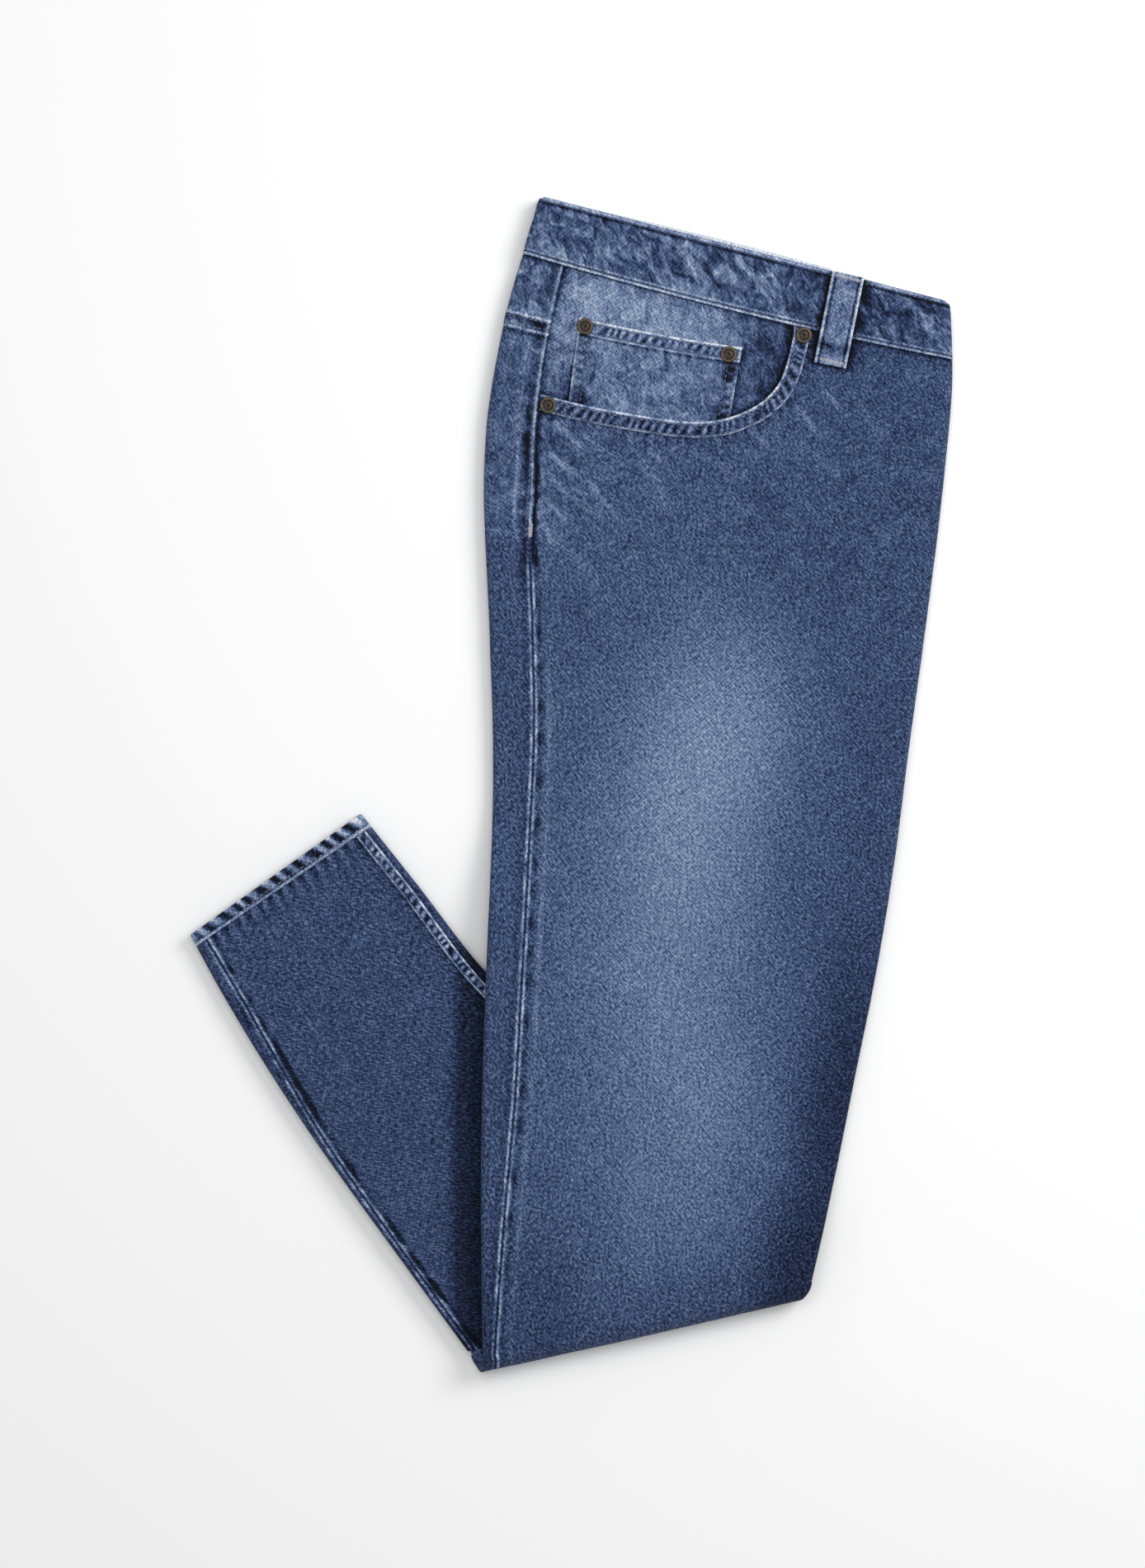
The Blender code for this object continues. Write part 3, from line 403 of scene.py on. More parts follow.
class Run:
    """A run of sections, one per row of a grid, with their places and their rounded edges."""

    def __init__(self, *parts):
        for name in parts[0]:
            setattr(self, name, np.concatenate([part[name] for part in parts]))
        reach = self.right - self.left
        self.width = np.linalg.norm(reach, axis=1)
        self.across = reach / self.width[:, None]
        self.outward = np.stack([self.across[:, 1], -self.across[:, 0]], axis=1)
        self.side_at = self.side[:, None]
        self.outseam_at = self.outseam[:, None]
        self.inseam_at = (self.width - self.inseam)[:, None]

    def place(self, u, w):
        """Points in space at u and w, which have a row for each section."""
        share = np.clip(u / self.width[:, None], 0.0, 1.0)
        bow = self.sag[:, None] * 4.0 * share * (1.0 - share)
        reach = FOLD_INNER_RADIUS + w
        turning = np.where(self.zone[:, None] == 1, reach * np.sin(self.turn)[:, None], 0.0)
        along = (bow + turning)[..., None] * self.outward[:, None, :]
        plan = self.left[:, None, :] + self.across[:, None, :] * u[..., None] + along
        upper = w + lift(plan[..., 0], plan[..., 1])
        fold = FOLD_AXIS_HEIGHT + reach * np.cos(self.turn)[:, None]
        lower = self.top[:, None] - w
        height = np.where(self.zone[:, None] == 0, upper, np.where(self.zone[:, None] == 1, fold, lower))
        return np.concatenate([plan, height[..., None]], axis=2)

    def lip(self, side, outer, steps, backwards=False):
        """One leg tube's folded edge as columns of (u, w, normal u, normal w), from the flat side to the slit."""
        radius = ((self.stack - TUBE_SLIT) / 4.0)[:, None]
        whole = (self.stack / 2.0)[:, None]
        part = self.part[:, None] if side == "right" else np.ones((len(self.stack), 1))
        middle = self.stack[:, None] - radius if outer else radius
        bare = (self.bare_out if outer else self.bare_in)[:, None]
        up = 1.0 if outer else -1.0
        share = np.linspace(0.0, 1.0, steps)[None, :]
        slope = math.pi / 2 - share * (math.pi / 2 + LIP_END)
        wide = math.pi / 2 - share * (math.pi / 2 - LIP_START_TILT)
        normal_u = mix(np.cos(wide), np.cos(slope), part)
        normal_w = mix(np.sin(wide), np.sin(slope), part) * up
        size = np.hypot(normal_u, normal_w)
        normal_u = normal_u / size
        normal_w = normal_w / size
        two_u = -SKIN - radius + np.cos(slope) * radius
        two_w = middle + np.sin(slope) * radius * up
        one_u = -SKIN - whole + np.cos(wide) * whole
        one_w = whole + np.sin(wide) * whole * up
        u = mix(one_u, two_u, part) + bare * np.maximum(normal_u, 0.0)
        w = mix(one_w, two_w, part)
        if side == "left":
            made = [-u, w, -normal_u, normal_w]
        else:
            made = [self.width[:, None] + u, w, normal_u, normal_w]
        return [a[:, ::-1] if backwards else a for a in made]

    def groove(self, side):
        radius = (self.stack - TUBE_SLIT) / 4.0
        part = self.part if side == "right" else np.ones(len(self.stack))
        inset = SKIN + mix(0.4, radius + GROOVE_DEPTH, part)
        middle = self.stack / 2.0 + (0.4 if side == "right" else 0.0) * (1.0 - self.part)
        u = inset if side == "left" else self.width - inset
        none = np.zeros((len(u), 1))
        return [u[:, None], middle[:, None], none, none + 1.0]

    def ends(self, outer):
        return self.lip("left", outer, 2)[0][:, :1], self.lip("right", outer, 2)[0][:, :1]

    def flat(self, outer, u):
        """The stack's outer or inner face at places u, with its soft crown."""
        low, high = self.ends(outer)
        crown = (self.crown_out if outer else self.crown_in)[:, None]
        bulge = crown * np.sin(math.pi * np.clip((u - low) / (high - low), 0.0, 1.0))
        w = self.stack[:, None] + bulge if outer else -bulge
        none = np.zeros(u.shape)
        return [u, w, none, none + (1.0 if outer else -1.0)]


def beside(*groups):
    """Groups of columns joined side by side."""
    return [np.concatenate([group[k] for group in groups], axis=1) for k in range(4)]


def spaced(start, end, step):
    """Evenly spaced places from start to end, both included."""
    return np.linspace(start, end, max(int(round(abs(end - start) / step)), 1) + 1)


def between(low, high, count):
    """count columns evenly between two columns of places, without them."""
    shares = (np.arange(count) + 1.0) / (count + 1.0)
    return mix(low, high, shares[None, :])


def grid_normals(points, closed=False):
    along = np.gradient(points, axis=0)
    if closed:
        across = np.roll(points, -1, axis=1) - np.roll(points, 1, axis=1)
    else:
        across = np.gradient(points, axis=1)
    normal = np.cross(along, across)
    return normal / np.maximum(np.linalg.norm(normal, axis=2, keepdims=True), 1e-9)


# How a border is turned down and under, as steps (outwards, down)
SEAM_ROLL = ((0.10, 0.25), (0.12, 1.0))
TOP_ROLL = ((0.10, 0.30), (0.12, 1.1))
YOKE_ROLL = ((0.12, 0.30), (0.14, 1.2))
FELL_ROLL = ((0.15, 0.30), (0.20, 1.2))
COIN_ROLL = ((0.20, 0.25), (0.28, 0.7), (0.20, 1.4))
HEM_OPEN_ROLL = ((0.30, 0.25), (0.45, 0.9), (0.35, 1.9), (0.10, 2.6))
HEM_SEWN_ROLL = ((0.20, 0.30), (0.30, 1.3))
LOOP_ROLL = ((0.35, 0.30), (0.48, 0.9), (0.30, 1.9))


class Sheet:
    """A grid of points in millimetres, with a tone and a place on the flat cloth for each."""

    def __init__(self, points, across=None, length=None, closed=False):
        self.points = points
        self.closed = closed
        steps = np.linalg.norm(np.diff(points, axis=1), axis=2)
        if across is None:
            across = cumulated(steps)
        if length is None:
            length = cumulated(np.linalg.norm(np.diff(points, axis=0), axis=2).mean(axis=1))
        self.across = np.broadcast_to(across, points.shape[:2]).copy()
        length = np.asarray(length, float)
        self.length = np.broadcast_to(length[:, None] if length.ndim == 1 else length, points.shape[:2]).copy()
        self.tone = np.full(points.shape[:2], 0.33)
        self.marble = np.full(points.shape[:2], 0.15)
        self.keep = None
        self.normals = grid_normals(points, closed)

    def plan(self):
        return self.points[..., 0], self.points[..., 1]

    def raise_by(self, height):
        self.points = self.points + self.normals * np.asarray(height)[..., None]

    def roll(self, side, steps, darker=0.06):
        """Turns one border down and under: steps are (outwards, down) from the border."""
        axis = 1 if side in ("left", "right") else 0
        first = side in ("left", "top")
        border = [0 if first else -1]
        edge = np.take(self.points, border, axis=axis)
        near = np.take(self.points, [1 if first else -2], axis=axis)
        normal = np.take(self.normals, border, axis=axis)
        out = edge - near
        out = out / np.maximum(np.linalg.norm(out, axis=2, keepdims=True), 1e-9)
        names = ("tone", "marble", "across", "length")
        values = {name: np.take(getattr(self, name), border, axis=axis) for name in names}
        for outwards, down in steps:
            moved = edge + out * outwards - normal * down
            added = {"points": moved, "normals": normal, **values}
            # Painted shade: the turned border's tone drops by darker for each millimetre down, up to one millimetre.
            added["tone"] = values["tone"] - darker * min(down, 1.0)
            for name, value in added.items():
                old = getattr(self, name)
                joined = [value, old] if first else [old, value]
                setattr(self, name, np.concatenate(joined, axis=axis))
        if self.keep is not None:
            pad = [(0, 0), (0, 0)]
            pad[axis] = (len(steps), 0) if first else (0, len(steps))
            self.keep = np.pad(self.keep, pad, mode="edge")

    def build(self, name, cap=False):
        rows, columns = self.points.shape[:2]
        index = np.arange(rows * columns).reshape(rows, columns)
        if self.closed:
            index = np.concatenate([index, index[:, :1]], axis=1)
        a = index[:-1, :-1]
        b = index[1:, :-1]
        c = index[1:, 1:]
        d = index[:-1, 1:]
        faces = np.stack([a, b, c, d], axis=2)
        faces = faces[self.keep] if self.keep is not None else faces.reshape(-1, 4)
        faces = [tuple(face) for face in faces.tolist()]
        if cap:
            faces.append(tuple(index[0, :columns].tolist()))
            faces.append(tuple(index[-1, :columns][::-1].tolist()))
        mesh = bpy.data.meshes.new(name)
        mesh.from_pydata((self.points.reshape(-1, 3) * MM).tolist(), [], faces)
        for label, values in (("tone", self.tone), ("marble", self.marble)):
            made = mesh.attributes.new(label, "FLOAT", "POINT")
            made.data.foreach_set("value", np.broadcast_to(values, (rows, columns)).astype(np.float32).ravel())
        place = np.stack([self.across, self.length, np.zeros(self.across.shape)], axis=2)
        weave = mesh.attributes.new("weave_place", "FLOAT_VECTOR", "POINT")
        weave.data.foreach_set("vector", place.astype(np.float32).ravel())
        mesh.shade_smooth()
        thing = bpy.data.objects.new(name, mesh)
        bpy.context.collection.objects.link(thing)
        if self.keep is not None:
            drop_loose_points(thing)
        return thing


def drop_loose_points(thing):
    """Removes the points of a grid that no face uses."""
    work = bmesh.new()
    work.from_mesh(thing.data)
    loose = [v for v in work.verts if not v.link_faces]
    bmesh.ops.delete(work, geom=loose, context="VERTS")
    work.to_mesh(thing.data)
    work.free()


def laid(run, columns, offset, closed=False):
    """A sheet over a run's columns, moved out from the stack by offset."""
    u, w, normal_u, normal_w = columns
    points = run.place(u + normal_u * offset, w + normal_w * offset)
    return Sheet(points, length=run.length, closed=closed)


# Materials

# Colours from dark to light: tone, then red, green and blue as they look on screen
DENIM_TONES = (
    (0.03, (0.026, 0.040, 0.080)),
    (0.14, (0.074, 0.118, 0.208)),
    (0.22, (0.130, 0.184, 0.306)),
    (0.30, (0.196, 0.260, 0.396)),
    (0.40, (0.294, 0.362, 0.498)),
    (0.50, (0.394, 0.464, 0.594)),
    (0.60, (0.496, 0.564, 0.680)),
    (0.72, (0.626, 0.682, 0.762)),
    (0.86, (0.780, 0.810, 0.848)),
    (1.00, (0.900, 0.908, 0.916)),
)
THREAD_TONES = (
    (0.10, (0.16, 0.19, 0.27)),
    (0.35, (0.36, 0.38, 0.45)),
    (0.60, (0.56, 0.57, 0.64)),
    (0.85, (0.82, 0.81, 0.82)),
)
BRASS_TONES = (
    (0.10, (0.05, 0.04, 0.04)),
    (0.45, (0.26, 0.22, 0.19)),
    (0.70, (0.43, 0.37, 0.30)),
    (1.00, (0.68, 0.62, 0.53)),
)


def linear(colour):
    return tuple(c / 12.92 if c <= 0.04045 else ((c + 0.055) / 1.055) ** 2.4 for c in colour)


class Nodes:
    """Short names for the few shader nodes that the materials use."""

    def __init__(self, name, **looks):
        self.material = bpy.data.materials.new(name)
        self.material.use_nodes = True
        self.tree = self.material.node_tree
        self.shader = self.tree.nodes["Principled BSDF"]
        for label, value in looks.items():
            self.put(value, self.shader.inputs[label.replace("_", " ")])

    def link(self, source, target):
        self.tree.links.new(source, target)

    def put(self, value, socket):
        """Sets a socket to a value, or links it to another node's output."""
        if isinstance(value, bpy.types.NodeSocket):
            self.link(value, socket)
        else:
            socket.default_value = value

    def add(self, kind, **inputs):
        """A new node. Its inputs have the names that they have in Blender, with _ for a space."""
        made = self.tree.nodes.new("ShaderNode" + kind)
        for label, value in inputs.items():
            self.put(value, made.inputs[label.replace("_", " ")])
        return made

    def attribute(self, name, output):
        made = self.add("Attribute")
        made.attribute_name = name
        return made.outputs[output]

    def mapped(self, vector, **how):
        return self.add("Mapping", Vector=vector, **how).outputs["Vector"]

    def noise(self, vector, scale, detail=2.0, roughness=0.55, distortion=0.0):
        place = self.mapped(vector, Scale=scale)
        made = self.add("TexNoise", Vector=place, Scale=1.0, Detail=detail, Roughness=roughness, Distortion=distortion)
        return made.outputs[0]

    def waves(self, vector, scale):
        made = self.add("TexWave", Vector=self.mapped(vector, Scale=scale), Scale=1.0, Distortion=1.2, Detail=1.0)
        made.wave_type = "BANDS"
        made.bands_direction = "DIAGONAL"
        return made.outputs["Fac"]

    def math(self, operation, a, b):
        made = self.add("Math")
        made.operation = operation
        self.put(a, made.inputs[0])
        self.put(b, made.inputs[1])
        return made.outputs[0]

    def ridge(self, value, sharpness):
        """1 where the value is in its middle, and down to nothing on both sides."""
        away = self.math("ABSOLUTE", self.math("SUBTRACT", value, 0.5), 0.0)
        return self.math("MAXIMUM", self.math("SUBTRACT", 1.0, self.math("MULTIPLY", away, sharpness)), 0.0)

    def step(self, value, start, end):
        made = self.add("MapRange", From_Min=start, From_Max=end, Value=value)
        made.interpolation_type = "SMOOTHSTEP"
        return made.outputs["Result"]

    def centred(self, value, size):
        """The value's swing about its middle, times size."""
        return self.math("MULTIPLY", self.math("SUBTRACT", value, 0.5), size)

    def colour(self, value, stops):
        """Gives the shader its colour, by the value's place among the stops."""
        made = self.add("ValToRGB", Fac=value)
        elements = made.color_ramp.elements
        while len(elements) < len(stops):
            elements.new(0.5)
        for element, (place, shown) in zip(elements, stops):
            element.position = place
            element.color = (*linear(shown), 1.0)
        self.link(made.outputs["Color"], self.shader.inputs["Base Color"])

    def bump(self, height, distance, strength):
        made = self.add("Bump", Distance=distance, Strength=strength, Height=height)
        self.link(made.outputs["Normal"], self.shader.inputs["Normal"])


def denim_material():
    """Washed twill: slubs along the warp, a fleck, diagonal twill lines, and marbling with creases where marked."""
    n = Nodes("washed_denim", Roughness=0.9, Specular_IOR_Level=0.15, Sheen_Weight=0.04, Sheen_Roughness=0.5)
    place = n.attribute("weave_place", "Vector")
    tone = n.attribute("tone", "Fac")
    marble = n.attribute("marble", "Fac")
    slubs = n.noise(place, (0.60, 0.10, 1.0), detail=2.0)
    twill = n.waves(place, (0.24, 0.24, 1.0))
    slanted = n.mapped(place, Rotation=(0.0, 0.0, math.radians(-52)))
    fleck = n.noise(slanted, (0.46, 0.74, 1.0), detail=1.0, roughness=0.5)
    patches = n.noise(slanted, (0.095, 0.120, 1.0), detail=3.0, roughness=0.60, distortion=1.1)
    thin = n.noise(slanted, (0.035, 0.150, 1.0), detail=2.0, roughness=0.5)
    where = n.noise(place, (0.055, 0.075, 1.0), detail=0.0)
    crease = n.math("MULTIPLY", n.ridge(thin, 30.0), n.step(where, 0.46, 0.60))

    total = n.math("ADD", tone, n.centred(slubs, 0.20))
    calm = n.math("SUBTRACT", 1.0, n.math("MULTIPLY", marble, 0.45))
    total = n.math("ADD", total, n.math("MULTIPLY", n.centred(fleck, 0.78), calm))
    by_fade = n.math("MULTIPLY", tone, 0.16)
    total = n.math("ADD", total, n.math("MULTIPLY", n.math("SUBTRACT", twill, 0.5), by_fade))
    marbling = n.math("ADD", n.centred(patches, 1.25), n.math("MULTIPLY", crease, 0.24))
    total = n.math("ADD", total, n.math("MULTIPLY", marbling, marble))
    n.colour(total, DENIM_TONES)
    height = n.math("ADD", n.centred(twill, 0.35), n.centred(slubs, 0.8))
    height = n.math("ADD", height, n.centred(fleck, 1.2))
    height = n.math("ADD", height, n.math("MULTIPLY", n.math("MULTIPLY", crease, marble), 1.2))
    n.bump(height, 0.0005, 0.6)
    return n.material


def thread_material():
    n = Nodes("sewing_thread", Roughness=0.75)
    place = n.attribute("weave_place", "Vector")
    twist = n.waves(place, (1.6, 1.6, 1.0))
    worn = n.noise(place, (0.35, 0.35, 1.0))
    value = n.math("ADD", n.centred(twist, 0.25), n.centred(worn, 0.9))
    n.colour(n.math("ADD", value, n.attribute("tone", "Fac")), THREAD_TONES)
    n.bump(twist, 0.0001, 0.5)
    return n.material


def brass_material():
    n = Nodes("antique_brass", Metallic=0.55, Roughness=0.5)
    patina = n.noise(n.add("TexCoord").outputs["Object"], (900.0, 900.0, 900.0), detail=3.0)
    n.colour(n.math("ADD", n.attribute("tone", "Fac"), n.centred(patina, 0.5)), BRASS_TONES)
    n.bump(patina, 0.00008, 0.5)
    return n.material


DENIM = denim_material()
THREAD = thread_material()
BRASS = brass_material()


def finish_piece(thing, material, nodes=()):
    """Gives a piece its material, and says what it rides on and which solids it stands for."""
    thing.data.materials.append(material)
    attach(thing, "root")
    if nodes:
        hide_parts(*nodes)
    return thing


def denim_piece(thing, node):
    """A piece of cloth in denim, standing for one of the model's solids."""
    finish_piece(thing, DENIM, [node])
    return thing


# Wear and seams

# Thigh fade, down the leg: how pale it is, where its middle is and how wide it is
FADE = (
    # row, distance from the top, middle_x, paler, half_width
    ("none", 165.0, 78.0, 0.010, 55.0),
    ("start", 205.0, 96.0, 0.085, 47.0),
    ("upper", 240.0, 92.0, 0.165, 50.0),
    ("brightest", 285.0, 84.0, 0.214, 53.0),
    ("mid thigh", 345.0, 70.0, 0.195, 54.0),
    ("knee", 450.0, 64.0, 0.144, 58.0),
    ("below knee", 530.0, 68.0, 0.132, 58.0),
    ("calf", 600.0, 62.0, 0.098, 52.0),
    ("low calf", 645.0, 62.0, 0.030, 48.0),
    ("fold", 690.0, 66.0, 0.000, 50.0),
)

# Dark blotches beside the side seam, from the tack down
SEAM_BLOTCHES = (
    # distance down the leg, length, strength
    (178.0, 5.0, 0.8),
    (204.0, 4.0, 0.5),
    (222.0, 4.5, 0.9),
    (243.0, 4.0, 0.8),
    (266.0, 4.0, 1.0),
    (285.0, 4.5, 1.0),
    (311.0, 5.0, 0.9),
    (338.0, 5.0, 1.0),
    (361.0, 4.5, 0.8),
    (378.0, 4.0, 0.5),
    (397.0, 4.5, 1.0),
    (414.0, 4.0, 0.9),
    (431.0, 4.5, 0.9),
    (455.0, 4.5, 0.9),
    (477.0, 4.0, 0.6),
    (497.0, 4.5, 0.9),
    (519.0, 4.0, 0.7),
    (548.0, 4.5, 0.7),
    (573.0, 4.0, 0.6),
    (602.0, 4.0, 0.5),
)


def thigh_fade(x, length):
    length = np.clip(length, FADE[0][1], FADE[-1][1])
    middle = track(FADE, 2, length)
    paler = np.clip(track(FADE, 3, length), 0.0, 1.0)
    half = track(FADE, 4, length)
    away = np.abs(x - middle) / half
    return paler * np.exp(-(away**2.2))


# Main creases of the upper stack, laid from where they show in the photograph
UPPER_CREASES = (
    # place, start_px, start_py, end_px, end_py, half_width, height, paler
    ("whisker, rivet", 672, 508, 716, 556, 1.7, 0.35, 0.163),
    ("whisker, high", 660, 540, 694, 584, 1.5, 0.35, 0.175),
    ("whisker, middle", 658, 566, 706, 614, 1.5, 0.35, 0.163),
    ("whisker, long", 700, 570, 762, 642, 1.7, 0.35, 0.138),
    ("whisker, low", 656, 600, 690, 640, 1.5, 0.35, 0.150),
    ("whisker, by the tack", 654, 628, 676, 668, 1.7, 0.35, 0.150),
    ("whisker, pocket's left", 700, 518, 738, 560, 1.5, 0.35, 0.138),
    ("whisker, pocket's middle", 780, 536, 812, 570, 1.5, 0.35, 0.100),
    ("whisker, pocket's turn", 912, 520, 936, 556, 1.5, 0.35, 0.112),
    ("whisker, front of the pocket", 960, 486, 1000, 540, 1.7, 0.35, 0.150),
    ("whisker, under the belt loop", 990, 462, 1030, 512, 1.7, 0.35, 0.138),
    ("from the side seam", 661, 536, 730, 612, 2.6, 0.45, 0.060),
    ("under it", 668, 566, 770, 668, 3.4, 0.50, 0.045),
    ("above the tack", 656, 604, 712, 656, 2.4, 0.40, 0.065),
    ("beside the tack", 655, 634, 742, 742, 3.8, 0.45, 0.040),
    ("dip below the tack", 668, 700, 728, 800, 4.2, -0.40, -0.025),
    ("under the pocket's left", 742, 530, 836, 636, 3.2, 0.45, 0.035),
    ("under the pocket's middle", 830, 530, 916, 604, 2.8, 0.40, 0.040),
    ("dip beside it", 868, 548, 950, 640, 4.2, -0.45, -0.030),
    ("under the pocket's turn", 930, 505, 1040, 596, 3.0, 0.45, 0.040),
    ("under the belt loop", 1010, 462, 1096, 560, 3.2, 0.50, 0.035),
    ("front edge, high", 1076, 430, 1136, 500, 3.0, 0.40, 0.030),
    ("front edge, hip", 1098, 610, 1040, 700, 4.6, 0.45, 0.025),
    ("hip, long", 770, 700, 820, 900, 7.0, 0.45, 0.000),
    ("thigh, long dip", 960, 760, 950, 1010, 8.0, -0.50, -0.015),
    ("thigh, long swell", 1010, 860, 985, 1120, 7.0, 0.50, 0.010),
    ("knee, drag", 700, 1170, 810, 1210, 5.5, 0.45, 0.012),
    ("knee, dip", 720, 1236, 860, 1262, 6.0, -0.45, -0.010),
    ("knee, front", 1010, 1150, 930, 1222, 6.0, 0.50, 0.012),
    ("calf, long", 706, 1330, 690, 1500, 6.0, 0.45, 0.010),
    ("calf, front", 930, 1330, 900, 1500, 7.0, 0.50, 0.010),
    ("over the fold", 640, 1600, 760, 1540, 5.0, 0.45, 0.015),
)

# The lower leg's creases, on its face that shows
LOWER_CREASES = (
    # place, start_px, start_py, end_px, end_py, half_width, height, paler
    ("by the hem's left", 268, 1150, 316, 1222, 2.8, 0.45, 0.040),
    ("by the hem's middle", 356, 1092, 392, 1150, 2.6, 0.40, 0.035),
    ("by the inseam, high", 470, 1108, 420, 1160, 2.6, 0.40, 0.035),
    ("by the inseam, low", 530, 1196, 470, 1240, 3.0, 0.45, 0.035),
    ("slubbed line", 352, 1208, 410, 1290, 1.4, 0.15, 0.045),
    ("long dip", 420, 1230, 510, 1420, 6.0, -0.45, -0.015),
    ("by the outseam", 360, 1330, 420, 1430, 3.4, 0.40, 0.030),
    ("long swell", 440, 1390, 530, 1560, 5.0, 0.45, 0.015),
)

# Similar creases on the side that lies on the floor, as shallow troughs
HIDDEN_CREASES = (
    # place, start_px, start_py, end_px, end_py, half_width, height, paler
    ("hip", 690, 520, 800, 640, 3.4, -0.45, 0.0),
    ("hip, low", 720, 600, 860, 730, 4.0, -0.50, 0.0),
    ("front edge", 1110, 520, 1030, 640, 3.6, -0.45, 0.0),
    ("thigh", 900, 760, 880, 1010, 7.0, -0.55, 0.0),
    ("knee", 690, 1120, 830, 1180, 5.0, -0.50, 0.0),
    ("shin", 560, 1330, 480, 1240, 5.0, -0.45, 0.0),
    ("ankle", 420, 1290, 350, 1180, 4.0, -0.40, 0.0),
)


def photo(px, py):
    """A place in plan from where it shows in the photograph, half a millimetre to the pixel."""
    return ((px - 693.5) / 2.0, (949.5 - py) / 2.0)


def laid_creases(x, y, table, seed):
    """Height and tone of a table's creases: soft, a little bent, and fading out at both ends."""
    height = np.zeros(np.shape(x))
    tone = np.zeros(np.shape(x))
    for _, start_px, start_py, end_px, end_py, half, high, paler in table:
        start = np.array(photo(start_px, start_py))
        way = np.array(photo(end_px, end_py)) - start
        size = np.linalg.norm(way)
        way = way / size
        near_x, near_y = x - start[0], y - start[1]
        along = near_x * way[0] + near_y * way[1]
        wander = half * 1.6 * (noise(along / 14.0, 0.0, seed + size) - 0.5)
        away = near_y * way[0] - near_x * way[1] + wander
        width = half * (0.75 + 0.5 * noise(along / 22.0, 3.0, seed + size))
        ends = ease(along, 0.0, 0.35 * size) * (1.0 - ease(along, 0.55 * size, size))
        shape = bell(away, 0.0, width) * ends
        height += high * shape
        tone += paler * shape
    return height, tone


def plain_seam(d, length, seed):
    """Height and tone of an open seam: two worn ridges, light by turns, with a dark line between them."""
    turns = ease(noise(length / 7.0, 0.0 * d, seed), 0.32, 0.68)
    worn = 0.55 + 0.9 * noise(length / 2.4, d / 9.0, seed + 1)
    left = bell(d, -1.5, 0.80) * mix(0.45, 1.0, turns)
    right = bell(d, 1.5, 0.80) * mix(1.0, 0.45, turns)
    height = 0.26 * (left + right) + 0.10 * np.sin(length / 2.2 + d * 0.5) * bell(d, 0.0, 4.0)
    tone = 0.37 * worn * (left + right) - 0.20 * bell(d, 0.1, 0.50) - 0.05 * bell(d, 4.2, 1.6)
    return height, tone


def blotches(d, length, side):
    """Dark patches where the seam allowance under the cloth holds it down, on one side of the seam."""
    dark = np.zeros(np.broadcast(d, length).shape)
    for place, size, strength in SEAM_BLOTCHES:
        dark += strength * bell(length, place, size) * bell(d * side, 3.6, 2.1)
    return -0.22 * dark


# Between these distances down the leg the side seam's allowances part
SEAM_OPENS = (163.0, 168.0)

# Beside the side seam's upper part, measured down the leg
SIDE_SEAM_MARKS = (
    # distance, ridge_at, dark_on_its_left, dark_on_its_right, pale_patch, pale_line, line_at
    (0.0, -1.2, 0.08, 0.00, 0.00, 0.00, -12.8),
    (30.0, -1.5, 0.10, 0.00, 0.00, 0.02, -12.8),
    (46.0, -1.9, 0.08, 0.00, 0.00, 0.12, -12.3),
    (61.0, -2.0, 0.08, 0.02, 0.00, 0.16, -12.0),
    (80.0, -1.5, 0.19, 0.10, 0.00, 0.05, -11.8),
    (90.0, -1.2, 0.28, 0.17, 0.00, 0.08, -11.5),
    (104.0, -1.1, 0.26, 0.20, 0.03, 0.16, -10.7),
    (117.0, -1.0, 0.23, 0.22, 0.07, 0.22, -10.2),
    (130.0, -0.5, 0.12, 0.20, 0.14, 0.22, -10.2),
    (142.0, 0.0, 0.09, 0.14, 0.19, 0.22, -10.2),
    (155.0, -0.2, 0.13, 0.22, 0.10, 0.20, -9.8),
    (163.0, -0.4, 0.18, 0.24, 0.04, 0.20, -8.6),
    (168.0, -0.4, 0.16, 0.20, 0.00, 0.14, -6.0),
    (176.0, -0.4, 0.13, 0.17, 0.00, 0.00, -3.0),
    (190.0, -0.4, 0.08, 0.06, 0.00, 0.00, -3.0),
    (205.0, -0.4, 0.00, 0.00, 0.00, 0.00, -3.0),
)


def side_seam_marks(length):
    """The columns of the table of side seam marks, at distances down the leg."""
    places = [row[0] for row in SIDE_SEAM_MARKS]
    return [np.interp(length, places, [row[k] for row in SIDE_SEAM_MARKS]) for k in range(1, 7)]


def soft_folds(x, y):
    """The leg's slight unevenness: long shallow swells and short low wrinkles."""
    swell = rough(x / 62.0, y / 110.0, 31, 2) * 0.8
    wrinkle = rough(x / 13.0 + y / 40.0, y / 26.0, 37, 2) * 0.22
    return swell + wrinkle


def loop_shadow(x, y):
    """1 right beside the belt loop's long sides, where a painted shadow of the loop lies on darker unworn cloth, and
    soon nothing.
    """
    near_x, near_y = x - LOOP_TOP[0], y - LOOP_TOP[1]
    along = near_x * LOOP_WAY[0] + near_y * LOOP_WAY[1]
    aside = np.abs(near_x * LOOP_WAY[1] - near_y * LOOP_WAY[0]) - LOOP_WIDTH / 2
    beside_it = ease(along, -3.0, 1.0) * (1.0 - ease(along, LOOP_LENGTH - 1.0, LOOP_LENGTH + 3.0))
    return fading(aside - 0.9, 2.9) * beside_it


